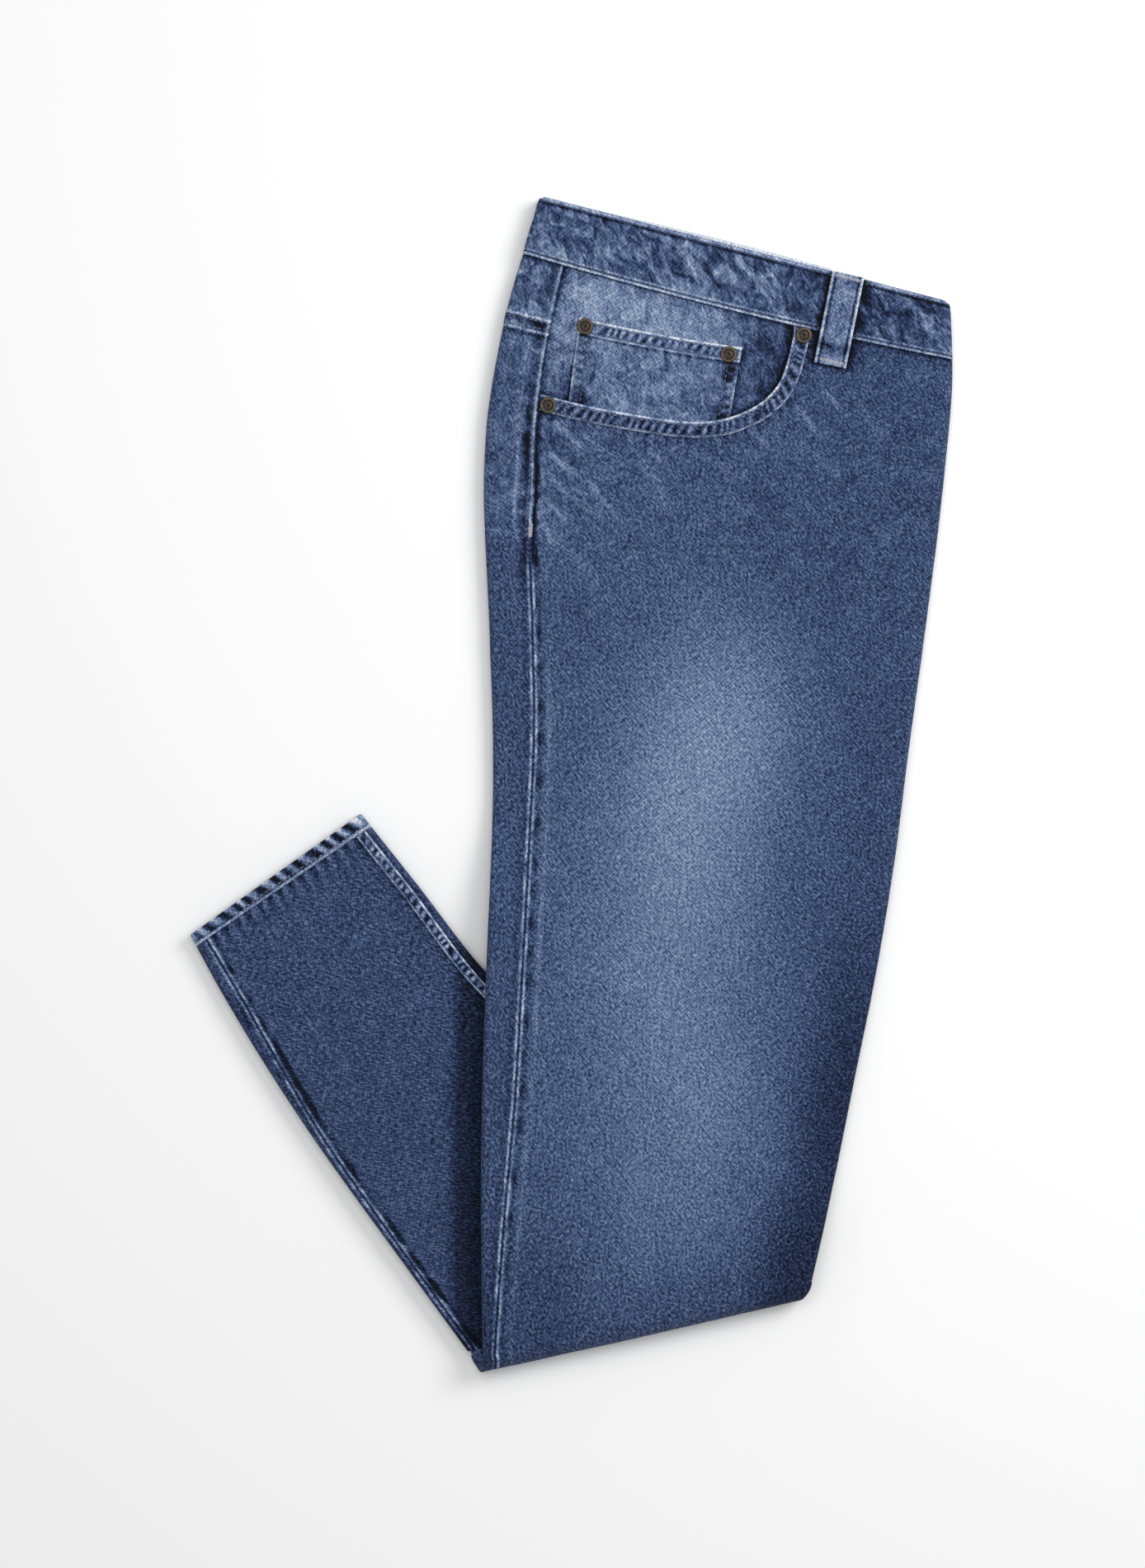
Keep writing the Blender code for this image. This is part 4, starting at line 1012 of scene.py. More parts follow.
def panel_marks(x, y, d, length):
    """Height and tone of the upper stack's cloth away from its seams: folds, creases and wear, with painted shade
    along the front edge low on the leg and a painted shadow just under the waistband.
    """
    crease_height, crease_tone = laid_creases(x, y, UPPER_CREASES, 11)
    height = soft_folds(x, y) * ease(np.abs(d), 1.0, 16.0) * ease(length, 0.0, 12.0)
    height += crease_height * ease(np.abs(d), 0.5, 4.0) * ease(length, 2.0, 12.0)
    below = ease(length, *SEAM_OPENS)
    tone = mix(0.350, 0.302, np.clip(d / 200.0, 0.0, 1.0)) + mix(0.004, -0.028, below) * (d < 0) + crease_tone
    tone += thigh_fade(x, length) * (d > 0)
    tone += rough(x / 14.0, y / 34.0, 41, 3) * 0.025
    # Painted shade: darker towards the front edge, low on the leg, where the cloth rounds over.
    from_front = d[:, -1:] - d
    tone -= 0.120 * ease(length, 330.0, 540.0) * (1.0 - ease(from_front, 12.0, 56.0)) * (d > 0)
    tone -= 0.022 * ease(length, 560.0, 660.0) + 0.035 * ease(length, 540.0, 620.0) * (1.0 - ease(x, -10.0, 30.0))
    # Painted shadow just under the waistband's lower edge.
    return height, tone - 0.22 * np.exp(-length / 2.0)


def open_seam_marks(d, length):
    """Height and tone of the side seam below its tack, where its allowances are pressed apart."""
    height, seam_tone = plain_seam(d, length, 5)
    tone = seam_tone * ease(length, 168.0, 192.0) + blotches(d, length, 1.0) - 0.060 * bell(d, -3.8, 2.6)
    return height, tone


def sewn_seam_marks(d, length, above):
    """Height and tone of the side seam above its tack, where both allowances are sewn down to the back."""
    ripple = np.sin((length + 0.7 * d) * 2 * math.pi / 8.5 + 2.0 * noise(length / 11.0, 0.0, 3))
    on_front, on_welt = d > 0, ease(d, -9.5, -7.5) * (d < 0)
    ridge, left_dark, right_dark, pale_patch, pale_line, line_at = side_seam_marks(length)
    worn = 0.7 + 0.6 * noise(length / 2.6, 0.0, 15)
    uneven = 0.55 + 0.9 * noise(length / 7.0, d / 7.0, 17)
    height = above * (0.16 * ripple * bell(d, 3.0, 4.5) * on_front + 0.12 * ripple * on_welt)
    height += 1.6 * pale_line * bell(d, line_at, 1.6)
    tone = above * (0.05 * ripple * bell(d, 3.5, 4.5) * on_front + 0.30 * worn * bell(d, ridge, 0.85))
    # Painted shadow: a dark line just right of the seam's raised ridge, above the tack.
    tone -= 0.32 * bell(d, ridge + 2.1, 0.80) * ease(185.0 - length, 0.0, 20.0)
    tone -= uneven * (left_dark * bell(d, ridge - 3.6, 2.3) + right_dark * bell(d, ridge + 3.4, 1.7))
    tone += uneven * pale_patch * bell(d, ridge + 5.6, 1.5) + worn * pale_line * bell(d, line_at, 1.15)
    return height, tone


def upper_marks(sheet):
    """Height, tone and marbling of the upper stack's outer cloth. d is from the side seam, the front above 0."""
    d, length = sheet.across, sheet.length
    height, tone = panel_marks(*sheet.plan(), d, length)
    below = ease(length, *SEAM_OPENS)
    above = 1.0 - below
    open_height, open_tone = open_seam_marks(d, length)
    sewn_height, sewn_tone = sewn_seam_marks(d, length, above)
    allowance = 0.5 + noise(length / 9.0, 0.0, 21)
    tone += 0.08 * allowance * bell(d, 9.7, 1.5) * ease(length, 215.0, 250.0)
    marble = 0.10 + 0.40 * np.exp(-np.abs(d) / 26.0) * above + 0.10 * (1.0 - ease(length, 120.0, 230.0))
    return height + open_height * below + sewn_height, tone + open_tone * below + sewn_tone, marble


def outer_marks(sheet):
    height, sheet.tone, sheet.marble = upper_marks(sheet)
    under = (sheet.normals[..., 2] < 0) * (1.0 - ease(sheet.points[..., 2], 0.5, 4.0))
    sheet.raise_by(height * (1.0 - under))


def pocket_edge(beyond=0.0):
    """The pocket's opening edge as a smooth line, moved away from the opening by beyond."""
    spots = [np.array(row[1:3]) for row in POCKET_EDGE]
    line = []
    for k in range(1, len(spots) - 2):
        before = (spots[k + 1] - spots[k - 1]) / 2
        after = (spots[k + 2] - spots[k]) / 2
        for step in range(POCKET_EDGE_STEPS):
            line.append(hermite(spots[k], spots[k + 1], before, after, 1.0, step / POCKET_EDGE_STEPS))
    line = np.array([spots[0]] + line + [spots[-2], spots[-1]])
    way = np.gradient(line, axis=0)
    way /= np.linalg.norm(way, axis=1, keepdims=True)
    return line + np.stack([way[:, 1], -way[:, 0]], axis=1) * beyond


def from_line(x, y, line):
    """Signed distance to a line, above 0 on its right-hand side, and how far along it the nearest place is."""
    best, signed, along = np.full(x.shape, 1e9), np.zeros(x.shape), np.zeros(x.shape)
    done = 0.0
    for a, b in zip(line[:-1], line[1:]):
        way = b - a
        size = np.linalg.norm(way)
        share = np.clip(((x - a[0]) * way[0] + (y - a[1]) * way[1]) / size**2, 0.0, 1.0)
        away_x, away_y = x - a[0] - way[0] * share, y - a[1] - way[1] * share
        away = np.hypot(away_x, away_y)
        side = np.where(way[1] * away_x - way[0] * away_y >= 0, 1.0, -1.0)
        nearer = away < best
        best = np.where(nearer, away, best)
        signed = np.where(nearer, away * side, signed)
        along = np.where(nearer, done + size * share, along)
        done += size
    return signed, along


# Upper panels

ROW_STEP = 1.6
FINE_OFFSETS = np.array([0.15, 0.5, 0.9, 1.3, 1.7, 2.2, 2.8, 3.5, 4.3, 5.2, 6.2, 7.4])


def path_to_fold(start):
    """Rows from a seam down to the fold and round it, finer by the seam."""
    fine_to = start + 6.0 / UPPER_LENGTH
    fine = spaced(start, fine_to, 0.5 / UPPER_LENGTH)
    down = np.concatenate([fine, spaced(fine_to, 1.0, ROW_STEP / UPPER_LENGTH)[1:]])
    return Run(upper_rows(down), fold_rows(spaced(0.0, 180.0, 7.5)[1:]))


def raised(run, u):
    down = 1.0 - ease(run.share, RAISE_FULL_TO, RAISE_NONE_FROM)
    over = 1.0 - ease(u / run.width[:, None], RAISE_FULL_SHARE, RAISE_NONE_SHARE)
    return PANEL_RAISE * down[:, None] * over * (run.zone == 0)[:, None]


def side_welt(run, u):
    near = ease(u, run.side_at - 12.0, run.side_at)
    down = 1.0 - ease(run.share, SEAM_TACK_AT, SEAM_TACK_AT + 0.03)
    return SEAM_WELT * near * down[:, None] * (run.zone == 0)[:, None]


def seam_distance(points, at_seam):
    """Distance across each row from the column at the seam, below 0 on its left."""
    across = cumulated(np.linalg.norm(np.diff(points, axis=1), axis=2))
    return across - across[:, at_seam:at_seam + 1]


def make_front_panel():
    run = path_to_fold(TOP_GAP_AT)
    near = run.side_at + FINE_OFFSETS[None, :]
    high = run.ends(True)[1]
    far = between(near[:, -1:], high, 148)
    columns = beside(run.flat(True, near), run.flat(True, far), run.lip("right", True, 11))
    sheet = laid(run, columns, SKIN + raised(run, columns[0]))
    x, y = sheet.plan()
    sheet.across = seam_distance(sheet.points, 0) + FINE_OFFSETS[0]
    outer_marks(sheet)

    close = (y > 195.0) & (x < 165.0)
    away = np.full(x.shape, 99.0)
    along = np.zeros(x.shape)
    away[close], along[close] = from_line(x[close], y[close], pocket_edge())
    near_hem = fading(away - POCKET_HEM, 4.5) * (away > 0) * close
    pucker = puckers(along, 6.3, 9.0, 23, 2.5)
    sheet.raise_by((0.16 * pucker - 0.10) * near_hem)
    sheet.tone += (0.085 * pucker - 0.055) * near_hem - 0.32 * loop_shadow(x, y)
    sheet.marble = sheet.marble + 0.30 * near_hem
    centre = away[:-1, :-1] * 0.25 + away[1:, :-1] * 0.25 + away[:-1, 1:] * 0.25 + away[1:, 1:] * 0.25
    sheet.keep = centre > 3.0
    sheet.roll("left", SEAM_ROLL)
    sheet.roll("top", TOP_ROLL)
    return denim_piece(sheet.build("right_front"), "right_front_panel")


def back_sheet(run):
    """The cloth left of the side seam, over the rows of a run."""
    near = run.side_at - FINE_OFFSETS[None, ::-1]
    low = run.ends(True)[0]
    far = between(low, near[:, :1], 12)
    lip = run.lip("left", True, 11, backwards=True)
    columns = beside(lip, run.flat(True, far), run.flat(True, near))
    sheet = laid(run, columns, SKIN + side_welt(run, columns[0]))
    sheet.across = seam_distance(sheet.points, columns[0].shape[1] - 1) - FINE_OFFSETS[0]
    outer_marks(sheet)
    return sheet


def yoke_fell(sheet, run):
    """The yoke seam's flat fell: two worn ridges, the lower one just under the seam, with a dark band between."""
    down = (run.length - YOKE_SEAM_AT * UPPER_LENGTH)[:, None]
    worn = 0.6 + 0.8 * noise(sheet.across / 3.0, down / 9.0, 53)
    sheet.tone += 0.34 * worn * (bell(down, -6.9, 0.95) + bell(down, 0.9, 0.95)) + 0.02 * (down < 0.0)
    sheet.tone -= 0.14 * bell(down, -3.2, 1.7) * ease(noise(sheet.across / 5.0, down / 9.0, 55), 0.3, 0.6)
    sheet.tone -= 0.17 * bell(down, 2.9, 1.1) + 0.15 * bell(down, -5.3, 0.6)
    sheet.raise_by(0.35 * ease(down, -8.3, -7.1) * (1.0 - ease(down, 1.0, 2.0)) + 0 * sheet.tone)


def make_back_panels():
    yoke_gap = GAP / 2 / UPPER_LENGTH
    run = path_to_fold(YOKE_SEAM_AT + yoke_gap)
    sheet = back_sheet(run)
    yoke_fell(sheet, run)
    sheet.roll("right", SEAM_ROLL)
    sheet.roll("top", YOKE_ROLL)
    back = denim_piece(sheet.build("right_back"), "right_back_panel")

    run = Run(upper_rows(spaced(TOP_GAP_AT, YOKE_SEAM_AT - yoke_gap, 0.6 / UPPER_LENGTH)))
    sheet = back_sheet(run)
    yoke_fell(sheet, run)
    sheet.marble = sheet.marble + 0.40
    sheet.roll("right", SEAM_ROLL)
    sheet.roll("top", YOKE_ROLL)
    yoke = denim_piece(sheet.build("right_yoke"), "right_back_yoke")
    return back, yoke


# Inner layers


def make_inner_layers():
    """The hidden layers: the left leg underneath, the lower legs' underside, and the edges of both."""
    down = spaced(TOP_GAP_AT, 1.0, 3.0 / UPPER_LENGTH)
    back_up = spaced(LOWER_WALLS_FROM, HEM_GAP_AT, 3.0 / LOWER_LENGTH)
    run = Run(upper_rows(down), fold_rows(spaced(0.0, 180.0, 11.25)[1:]), lower_rows(back_up))
    low_out, high_out = run.ends(True)
    low_in, high_in = run.ends(False)
    columns = beside(
        run.groove("left"),
        run.lip("left", True, 8, backwards=True),
        run.flat(True, between(low_out, high_out, 76)),
        run.lip("right", True, 8),
        run.groove("right"),
        run.lip("right", False, 8, backwards=True),
        run.flat(False, between(high_in, low_in, 80)),
        run.lip("left", False, 8),
    )
    sheet = laid(run, columns, 0.0, closed=True)
    u = columns[0]
    length = sheet.length
    seam_tone = plain_seam(u - run.side_at, length, 7)[1]
    inseam_tone = plain_seam(run.inseam_at - u, length, 8)[1]
    on_lower = ease(length, 680.0, 690.0)
    on_upper = 1.0 - on_lower
    x, y = sheet.plan()
    tone = 0.325 + rough(x / 14.0, y / 34.0, 43, 3) * 0.03
    tone += 0.6 * thigh_fade(x, np.minimum(length, 690.0)) * on_upper
    tone += seam_tone + inseam_tone * on_lower
    trough = np.maximum(-soft_folds(x, y), 0.0) * 0.5 - laid_creases(x, y, HIDDEN_CREASES, 13)[0]
    flat_face = np.abs(columns[3]) > 0.99
    sheet.tone = tone
    sheet.raise_by(-trough * flat_face * ease(length, 0.0, 12.0) * ease(WHOLE_LENGTH - length, 5.0, 30.0))
    thing = sheet.build("left_leg_and_lining", cap=True)
    return denim_piece(thing, "folded_inner_layers")


# Lower panels


def lower_run(start=LOWER_WALLS_FROM, step=1.5):
    return Run(lower_rows(spaced(start, HEM_GAP_AT, step / LOWER_LENGTH)))


def lower_tone(x, y):
    """Tone of the lower leg, with a painted shadow of the upper stack that lies over it, darkest by its edge."""
    rows = np.array([row[2:4] for row in UPPER])[::-1]
    clear = np.interp(y, rows[:, 1], rows[:, 0]) - x
    tone = 0.305 + rough(x / 14.0, y / 24.0, 47, 3) * 0.03
    # Painted shadow: darker close to the upper stack's left edge, and a broader soft fall-off beyond it.
    return tone - 0.13 * (1.0 - ease(clear, 13.0, 22.0)) - 0.07 * (1.0 - ease(clear, -8.0, 36.0))


def make_lower_front():
    run = lower_run()
    right = run.inseam_at
    left = run.outseam_at
    near = right - FINE_OFFSETS[None, :]
    far = left + FINE_OFFSETS[None, ::-1]
    columns = beside(
        run.flat(False, near),
        run.flat(False, between(near[:, -1:], far[:, :1], 100)),
        run.flat(False, far),
    )
    sheet = laid(run, columns, SKIN)
    u = columns[0]
    x, y = sheet.plan()
    length = sheet.length
    crease_height, crease_tone = laid_creases(x, y, LOWER_CREASES, 12)
    height = soft_folds(x, y) * ease(u - left, 1.0, 14.0) * ease(right - u, 1.0, 14.0) + crease_height
    d = u - left
    seam_height, seam_tone = plain_seam(d, length, 61)
    tone = lower_tone(x, y) + seam_tone + crease_tone
    dark_near_seam = noise(length / 7.5, d / 9.0, 63) * bell(d, 3.6, 2.8)
    tone -= 0.22 * ease(dark_near_seam, 0.26, 0.56)
    sheet.marble = 0.10 + 0.25 * np.exp(-d / 9.0)
    pucker = puckers(u, 8.0, 9.0, 67)
    near_hem = fading(WHOLE_LENGTH - HEM_DEPTH - length, 6.0)
    tone += (0.17 * pucker - 0.03) * near_hem
    fell_edge = right - FELL_WIDTH - u
    beyond_fell = fading(fell_edge, 4.0) * (fell_edge > 0)
    ripple = puckers(length, 7.0, 9.0, 71)
    on_fell = ease(run.share, FELL_FROM, FELL_FROM + 0.03)[:, None]
    tone += (0.08 * ripple - 0.05) * beyond_fell * on_fell
    sheet.tone = tone
    sheet.raise_by(height + seam_height + 0.14 * pucker * near_hem + 0.12 * ripple * beyond_fell * on_fell)
    sheet.roll("right", SEAM_ROLL)
    sheet.roll("bottom", TOP_ROLL)
    return denim_piece(sheet.build("left_front"), "left_front_panel")


def make_lower_strips():
    run = lower_run()
    right = run.inseam_at
    high = run.ends(False)[1]
    lip = run.lip("right", False, 11, backwards=True)
    flat = run.flat(False, np.concatenate([between(high, right + 0.15, 8), right + 0.15], axis=1))
    columns = beside(lip, flat)
    sheet = laid(run, columns, SKIN)
    x, y = sheet.plan()
    d = columns[0] - right
    sheet.tone = lower_tone(x, y) - 0.02 - 0.08 * bell(d, 0.6, 0.7)
    sheet.roll("right", SEAM_ROLL)
    denim_piece(sheet.build("left_back_inseam"), "left_back_panel_inseam")

    left = run.outseam_at
    low = run.ends(False)[0]
    near = left - np.array([[0.15, 0.6, 1.1, 1.7, 2.4, 3.2]])
    flat = run.flat(False, np.concatenate([near, between(near[:, -1:], low, 4)], axis=1))
    columns = beside(flat, run.lip("left", False, 11))
    sheet = laid(run, columns, SKIN)
    d = columns[0] - left
    seam_height, seam_tone = plain_seam(d, sheet.length, 61)
    x, y = sheet.plan()
    blotch = ease(noise(sheet.length / 7.0, d / 6.0, 65), 0.45, 0.70) * bell(d, -3.4, 2.2)
    on_face = np.abs(columns[3]) > 0.99
    sheet.tone = lower_tone(x, y) - 0.02 + (seam_tone - 0.14 * blotch) * on_face
    sheet.raise_by(seam_height * on_face)
    sheet.roll("left", SEAM_ROLL)
    denim_piece(sheet.build("left_back_outseam"), "left_back_panel_outseam")


def make_fell():
    """The inseam's turned and twice-stitched strip."""
    run = lower_run(FELL_FROM, 0.8)
    q = np.linspace(0.0, FELL_WIDTH, 11)[None, :]
    sheet = laid(run, run.flat(False, run.inseam_at - q), SKIN + GAP + TRIM_CLOTH)
    length = sheet.length
    q = np.broadcast_to(q, length.shape)
    height, sheet.tone = sewn_band(length, q, FELL_WIDTH, 1.3, 5.2, 81, pitch=4.6, pale=0.21, blocks=0.34)
    sheet.marble = sheet.marble + 0.35
    sheet.raise_by(height)
    sheet.roll("left", FELL_ROLL)
    sheet.roll("right", FELL_ROLL)
    return denim_piece(sheet.build("inseam_strip"), "inseam_fell")


def sewn_band(along, q, width, first_row, second_row, seed, pitch, pale, blocks, base=0.35):
    """Height and tone of a narrow band sewn along both sides: worn edges and puckered blocks between the rows."""
    phase = along * 2 * math.pi / pitch + 6.0 * noise(along / (pitch * 1.7), 0 * q, seed)
    wave = np.sin(phase + 0.5 * q)
    strength = 0.25 + 1.3 * noise(along / (pitch * 1.1), q / 3.0, seed + 1)
    inside = ease(q, first_row - 0.3, first_row + 1.0) * (1.0 - ease(q, second_row - 1.0, second_row + 0.3))
    edges = bell(q, 0.2, 0.9) + 0.7 * bell(q, width - 0.1, 0.8)
    edges = edges * (0.5 + 0.9 * noise(along / 3.0, 0 * q, seed + 2))
    grooves = bell(q, first_row, 0.5) + bell(q, second_row, 0.5)
    height = 0.22 * wave * inside * strength - 0.16 * grooves + 0.12 * inside
    tone = base + pale * edges * 2.0 + blocks * wave * inside * strength - 0.12 * grooves
    return height, tone


# Pocket


def side_seam_spot(along):
    run = Run(upper_rows([along]))
    return run.left[0] + run.across[0] * (run.side[0] + 2 * GAP)


def band_seam_spot(x):
    run = Run(upper_rows([0.0]))
    share = (x - run.left[0, 0]) / (run.right[0, 0] - run.left[0, 0])
    spot = mix(run.left[0], run.right[0], share)
    spot = spot + run.outward[0] * (run.sag[0] * 4.0 * share * (1.0 - share) + 3 * GAP)
    return np.array([x, spot[1]])


def surface(*things):
    """A function that gives the height and normal of the highest surface over places in plan, in millimetres."""
    trees = [BVHTree.FromPolygons([v.co for v in t.data.vertices], [tuple(f.vertices) for f in t.data.polygons])
             for t in things]

    def over(places, from_below=False):
        start = -0.05 if from_below else 0.1
        way = Vector((0, 0, 1 if from_below else -1))
        found = []
        for x, y in places:
            best = None
            for tree in trees:
                spot, normal, _, _ = tree.ray_cast(Vector((x * MM, y * MM, start)), way)
                if spot is None:
                    continue
                better = best is None or (spot.z < best[0].z if from_below else spot.z > best[0].z)
                if better:
                    best = (spot, normal)
            if best is None:
                found.append((float("nan"), (0.0, 0.0, 1.0)))
            else:
                up = best[1] if best[1].z * way.z < 0 else -best[1]
                found.append((best[0].z / MM, tuple(up)))
        heights = np.array([f[0] for f in found])
        return heights, np.array([f[1] for f in found])

    return over


def panel_height(x, y, on_panel):
    """Height of the upper stack's outer face over a place in plan, without its marks."""
    rows = Run(upper_rows(spaced(0.0, 0.30, 0.002)))
    best = np.full(np.shape(x), 1e9)
    height = np.zeros(np.shape(x))
    for k in range(len(rows.stack)):
        near_x, near_y = x - rows.left[k, 0], y - rows.left[k, 1]
        u = near_x * rows.across[k, 0] + near_y * rows.across[k, 1]
        past = near_x * rows.outward[k, 0] + near_y * rows.outward[k, 1]
        share = np.clip(u / rows.width[k], 0.0, 1.0)
        away = np.abs(past - rows.sag[k] * 4.0 * share * (1.0 - share))
        low = SKIN + (rows.stack[k] - TUBE_SLIT) / 4.0
        high = rows.width[k] - SKIN - rows.stack[k] / 2.0
        bulge = rows.crown_out[k] * np.sin(math.pi * np.clip((u - low) / (high - low), 0.0, 1.0))
        down = 1.0 - ease(rows.share[k], RAISE_FULL_TO, RAISE_NONE_FROM)
        over = 1.0 - ease(u / rows.width[k], RAISE_FULL_SHARE, RAISE_NONE_SHARE)
        value = rows.stack[k] + bulge + PANEL_RAISE * down * over * on_panel
        nearer = away < best
        best = np.where(nearer, away, best)
        height = np.where(nearer, value, height)
    return height + lift(x, y)


def make_facing():
    run = Run(upper_rows(spaced(TOP_GAP_AT, 0.175, 1.0 / UPPER_LENGTH)))
    from_seam = np.linspace(0.15, 176.0, 150)[None, :]
    u = run.side_at + from_seam
    sheet = laid(run, run.flat(True, u), GAP + TRIM_CLOTH)
    x, y = sheet.plan()
    away = from_line(x, y, pocket_edge())[0]
    down = run.length[:, None]
    seam_puckers = puckers(x, 9.0, 12.0, 92, 3.0) * np.exp(-down / 7.0)
    # Painted shade: the facing darkens towards the right, under the curve of the pocket's opening.
    tone = 0.53 - 0.225 * ease(x, 80.0, 116.0) + 0.05 * rough(x / 14.0, y / 14.0, 93, 3)
    # Puckers by the waistband seam, and a painted shadow just under the waistband.
    tone += 0.05 * seam_puckers - 0.26 * np.exp(-down / 2.0)
    # Painted shadow of the pocket's turned edge, dark along the opening.
    tone -= 0.36 * fading(-away, 3.2)
    # Painted shadows beside the coin pocket: on its left in the lower half, and all along its right.
    left_edge = np.interp(y, *zip(COIN_LOW_LEFT[::-1], COIN_TOP_LEFT[::-1]))
    right_edge = np.interp(y, *zip(COIN_LOW_RIGHT[::-1], COIN_TOP_RIGHT[::-1]))
    tone -= 0.42 * fading(left_edge - x, 1.8) * (x < left_edge + 2.0) * ease(-y, -268.0, -236.0)
    tone -= 0.26 * fading(x - right_edge, 3.0) * (x > right_edge - 2.0) * (y < COIN_TOP_RIGHT[1])
    # Painted shadow along the side seam, where the back's edge lies over the facing; its depth changes down the seam.
    by_seam = np.interp(down, [0.0, 14.0, 32.0, 45.0, 62.0, 82.0], [0.40, 0.38, 0.28, 0.12, 0.12, 0.30])
    tone -= by_seam * fading(from_seam - 0.6, 1.7)
    tone -= 0.09 * ease(down, 34.0, 58.0) * (1.0 - ease(from_seam, 14.0, 26.0))
    sheet.tone = tone
    sheet.marble = np.full(x.shape, 0.55)
    sheet.raise_by(0.30 * rough(x / 8.0 + y / 24.0, y / 20.0, 91, 2) + 0.18 * seam_puckers)
    sheet.keep = (away[:-1, :-1] + away[1:, 1:]) / 2.0 < 6.0
    return denim_piece(sheet.build("pocket_facing_cloth"), "pocket_facing")


def coin_pocket_plan():
    """Rows of places from the coin pocket's top down to the front pocket's edge, and its width."""
    across = np.linalg.norm(COIN_TOP_RIGHT - COIN_TOP_LEFT)
    a = np.linspace(0.0, 1.0, COIN_COLUMNS + 1)
    back = COIN_TOP_LEFT - COIN_TOP_RIGHT
    bow = direction(np.array([-back[1], back[0]])) * COIN_BOW * across * (4 * a * (1 - a))[:, None]
    top = mix(COIN_TOP_LEFT[None, :], COIN_TOP_RIGHT[None, :], a[:, None]) + bow
    low = mix(COIN_LOW_LEFT[None, :], COIN_LOW_RIGHT[None, :], a[:, None]) + bow
    edge = pocket_edge(-0.4)
    reach = np.ones(COIN_COLUMNS + 1)
    for share in np.linspace(0.5, 1.0, 120)[::-1]:
        spot = mix(top, low, share)
        away, _ = from_line(spot[:, 0], spot[:, 1], edge)
        reach = np.where((away > 0) & (share < reach), share, reach)
    return np.stack([mix(top, low, (share * reach)[:, None]) for share in np.linspace(0.0, 1.0, 66)]), a * across


def make_coin_pocket():
    plan, from_left = coin_pocket_plan()
    across = from_left[-1]
    x, y = plan[..., 0], plan[..., 1]
    b = np.linalg.norm(plan - plan[:1], axis=2)
    z = panel_height(x, y, False) + 2 * (GAP + TRIM_CLOTH)
    z = z + COIN_HEM_RAISE * (1.0 - ease(b, COIN_HEM - 0.6, COIN_HEM + 0.8))
    sheet = Sheet(np.concatenate([plan, z[..., None]], axis=2))
    p = np.broadcast_to(from_left[None, :], b.shape)
    side = np.minimum(p, across - p)
    below = b - COIN_HEM
    in_hem = 1.0 - ease(b, COIN_HEM - 0.5, COIN_HEM + 0.5)
    hem_height, hem_tone = sewn_band(p, b, COIN_HEM, *COIN_ROWS, 101, pitch=5.2, pale=0.24, blocks=0.24, base=0.42)

    pucker = puckers(p, 6.5, 8.0, 103, 2.5) * fading(below, 5.0)
    by_side = noise(b / 9.0, p / 20.0, 113) * fading(side - 7.0, 7.0)
    tone = 0.43 + 0.08 * pucker - 0.19 * bell(below, 0.6, 1.0) + 0.09 * rough(p / 8.0, b / 8.0, 107, 3)
    tone = mix(tone - 0.26 * ease(by_side, 0.22, 0.55), hem_tone, in_hem)
    height = mix(0.14 * pucker + 0.25 * rough(p / 6.0 - b / 24.0, b / 18.0, 105, 2), hem_height, in_hem)

    worn = 0.5 + 0.9 * noise(b / 3.0, p / 50.0, 109)
    within = ease(side, 1.2, 2.4) * (1.0 - ease(side, 5.4, 6.8)) * (1.0 - in_hem)
    ripple = puckers(b, 5.5, 8.0, 111, across=p / 50.0) * within
    tone = tone + 0.28 * bell(side, 0.2, 0.8) * worn + 0.11 * ripple - 0.15 * bell(side, 6.6, 0.7)
    sheet.tone = tone - 0.12 * ease(p, 78.0, 96.0) * ease(b, 22.0, 44.0)
    sheet.marble = mix(0.62, 0.35, in_hem)
    sheet.raise_by(height + 0.12 * ripple - 0.12 * bell(side, 6.6, 0.7))
    for border in ("left", "right", "top"):
        sheet.roll(border, COIN_ROLL, darker=0.10)
    return denim_piece(sheet.build("coin_pocket_cloth"), "coin_pocket")


def at_places(wanted, along, line):
    """Points of a line at the wanted distances, where along is each of its own points' distance."""
    return np.stack([np.interp(wanted, along, line[:, k]) for k in range(line.shape[1])], axis=1)


def pocket_hem_plan():
    """Rows of places across the pocket's turned edge, from the side seam to the waistband."""
    inner = pocket_edge(-0.1)
    outer = pocket_edge(POCKET_HEM)
    start = (side_seam_spot(POCKET_MEETS_SIDE_AT), side_seam_spot(HEM_MEETS_SIDE_AT))
    rows = [start]
    for near, far in zip(inner, outer):
        if near[0] > start[0][0] + 1.0 and max(near[1], far[1]) < band_seam_spot(near[0])[1] - 1.0:
            rows.append((near, far))
    rows.append((band_seam_spot(rows[-1][0][0]), band_seam_spot(rows[-1][1][0])))
    near, far = np.swapaxes(np.array(rows), 0, 1)
    along = cumulated(np.linalg.norm(np.diff(mix(near, far, 0.5), axis=0), axis=1))
    even = spaced(0.0, along[-1], 0.8)
    return even, at_places(even, along, near), at_places(even, along, far)


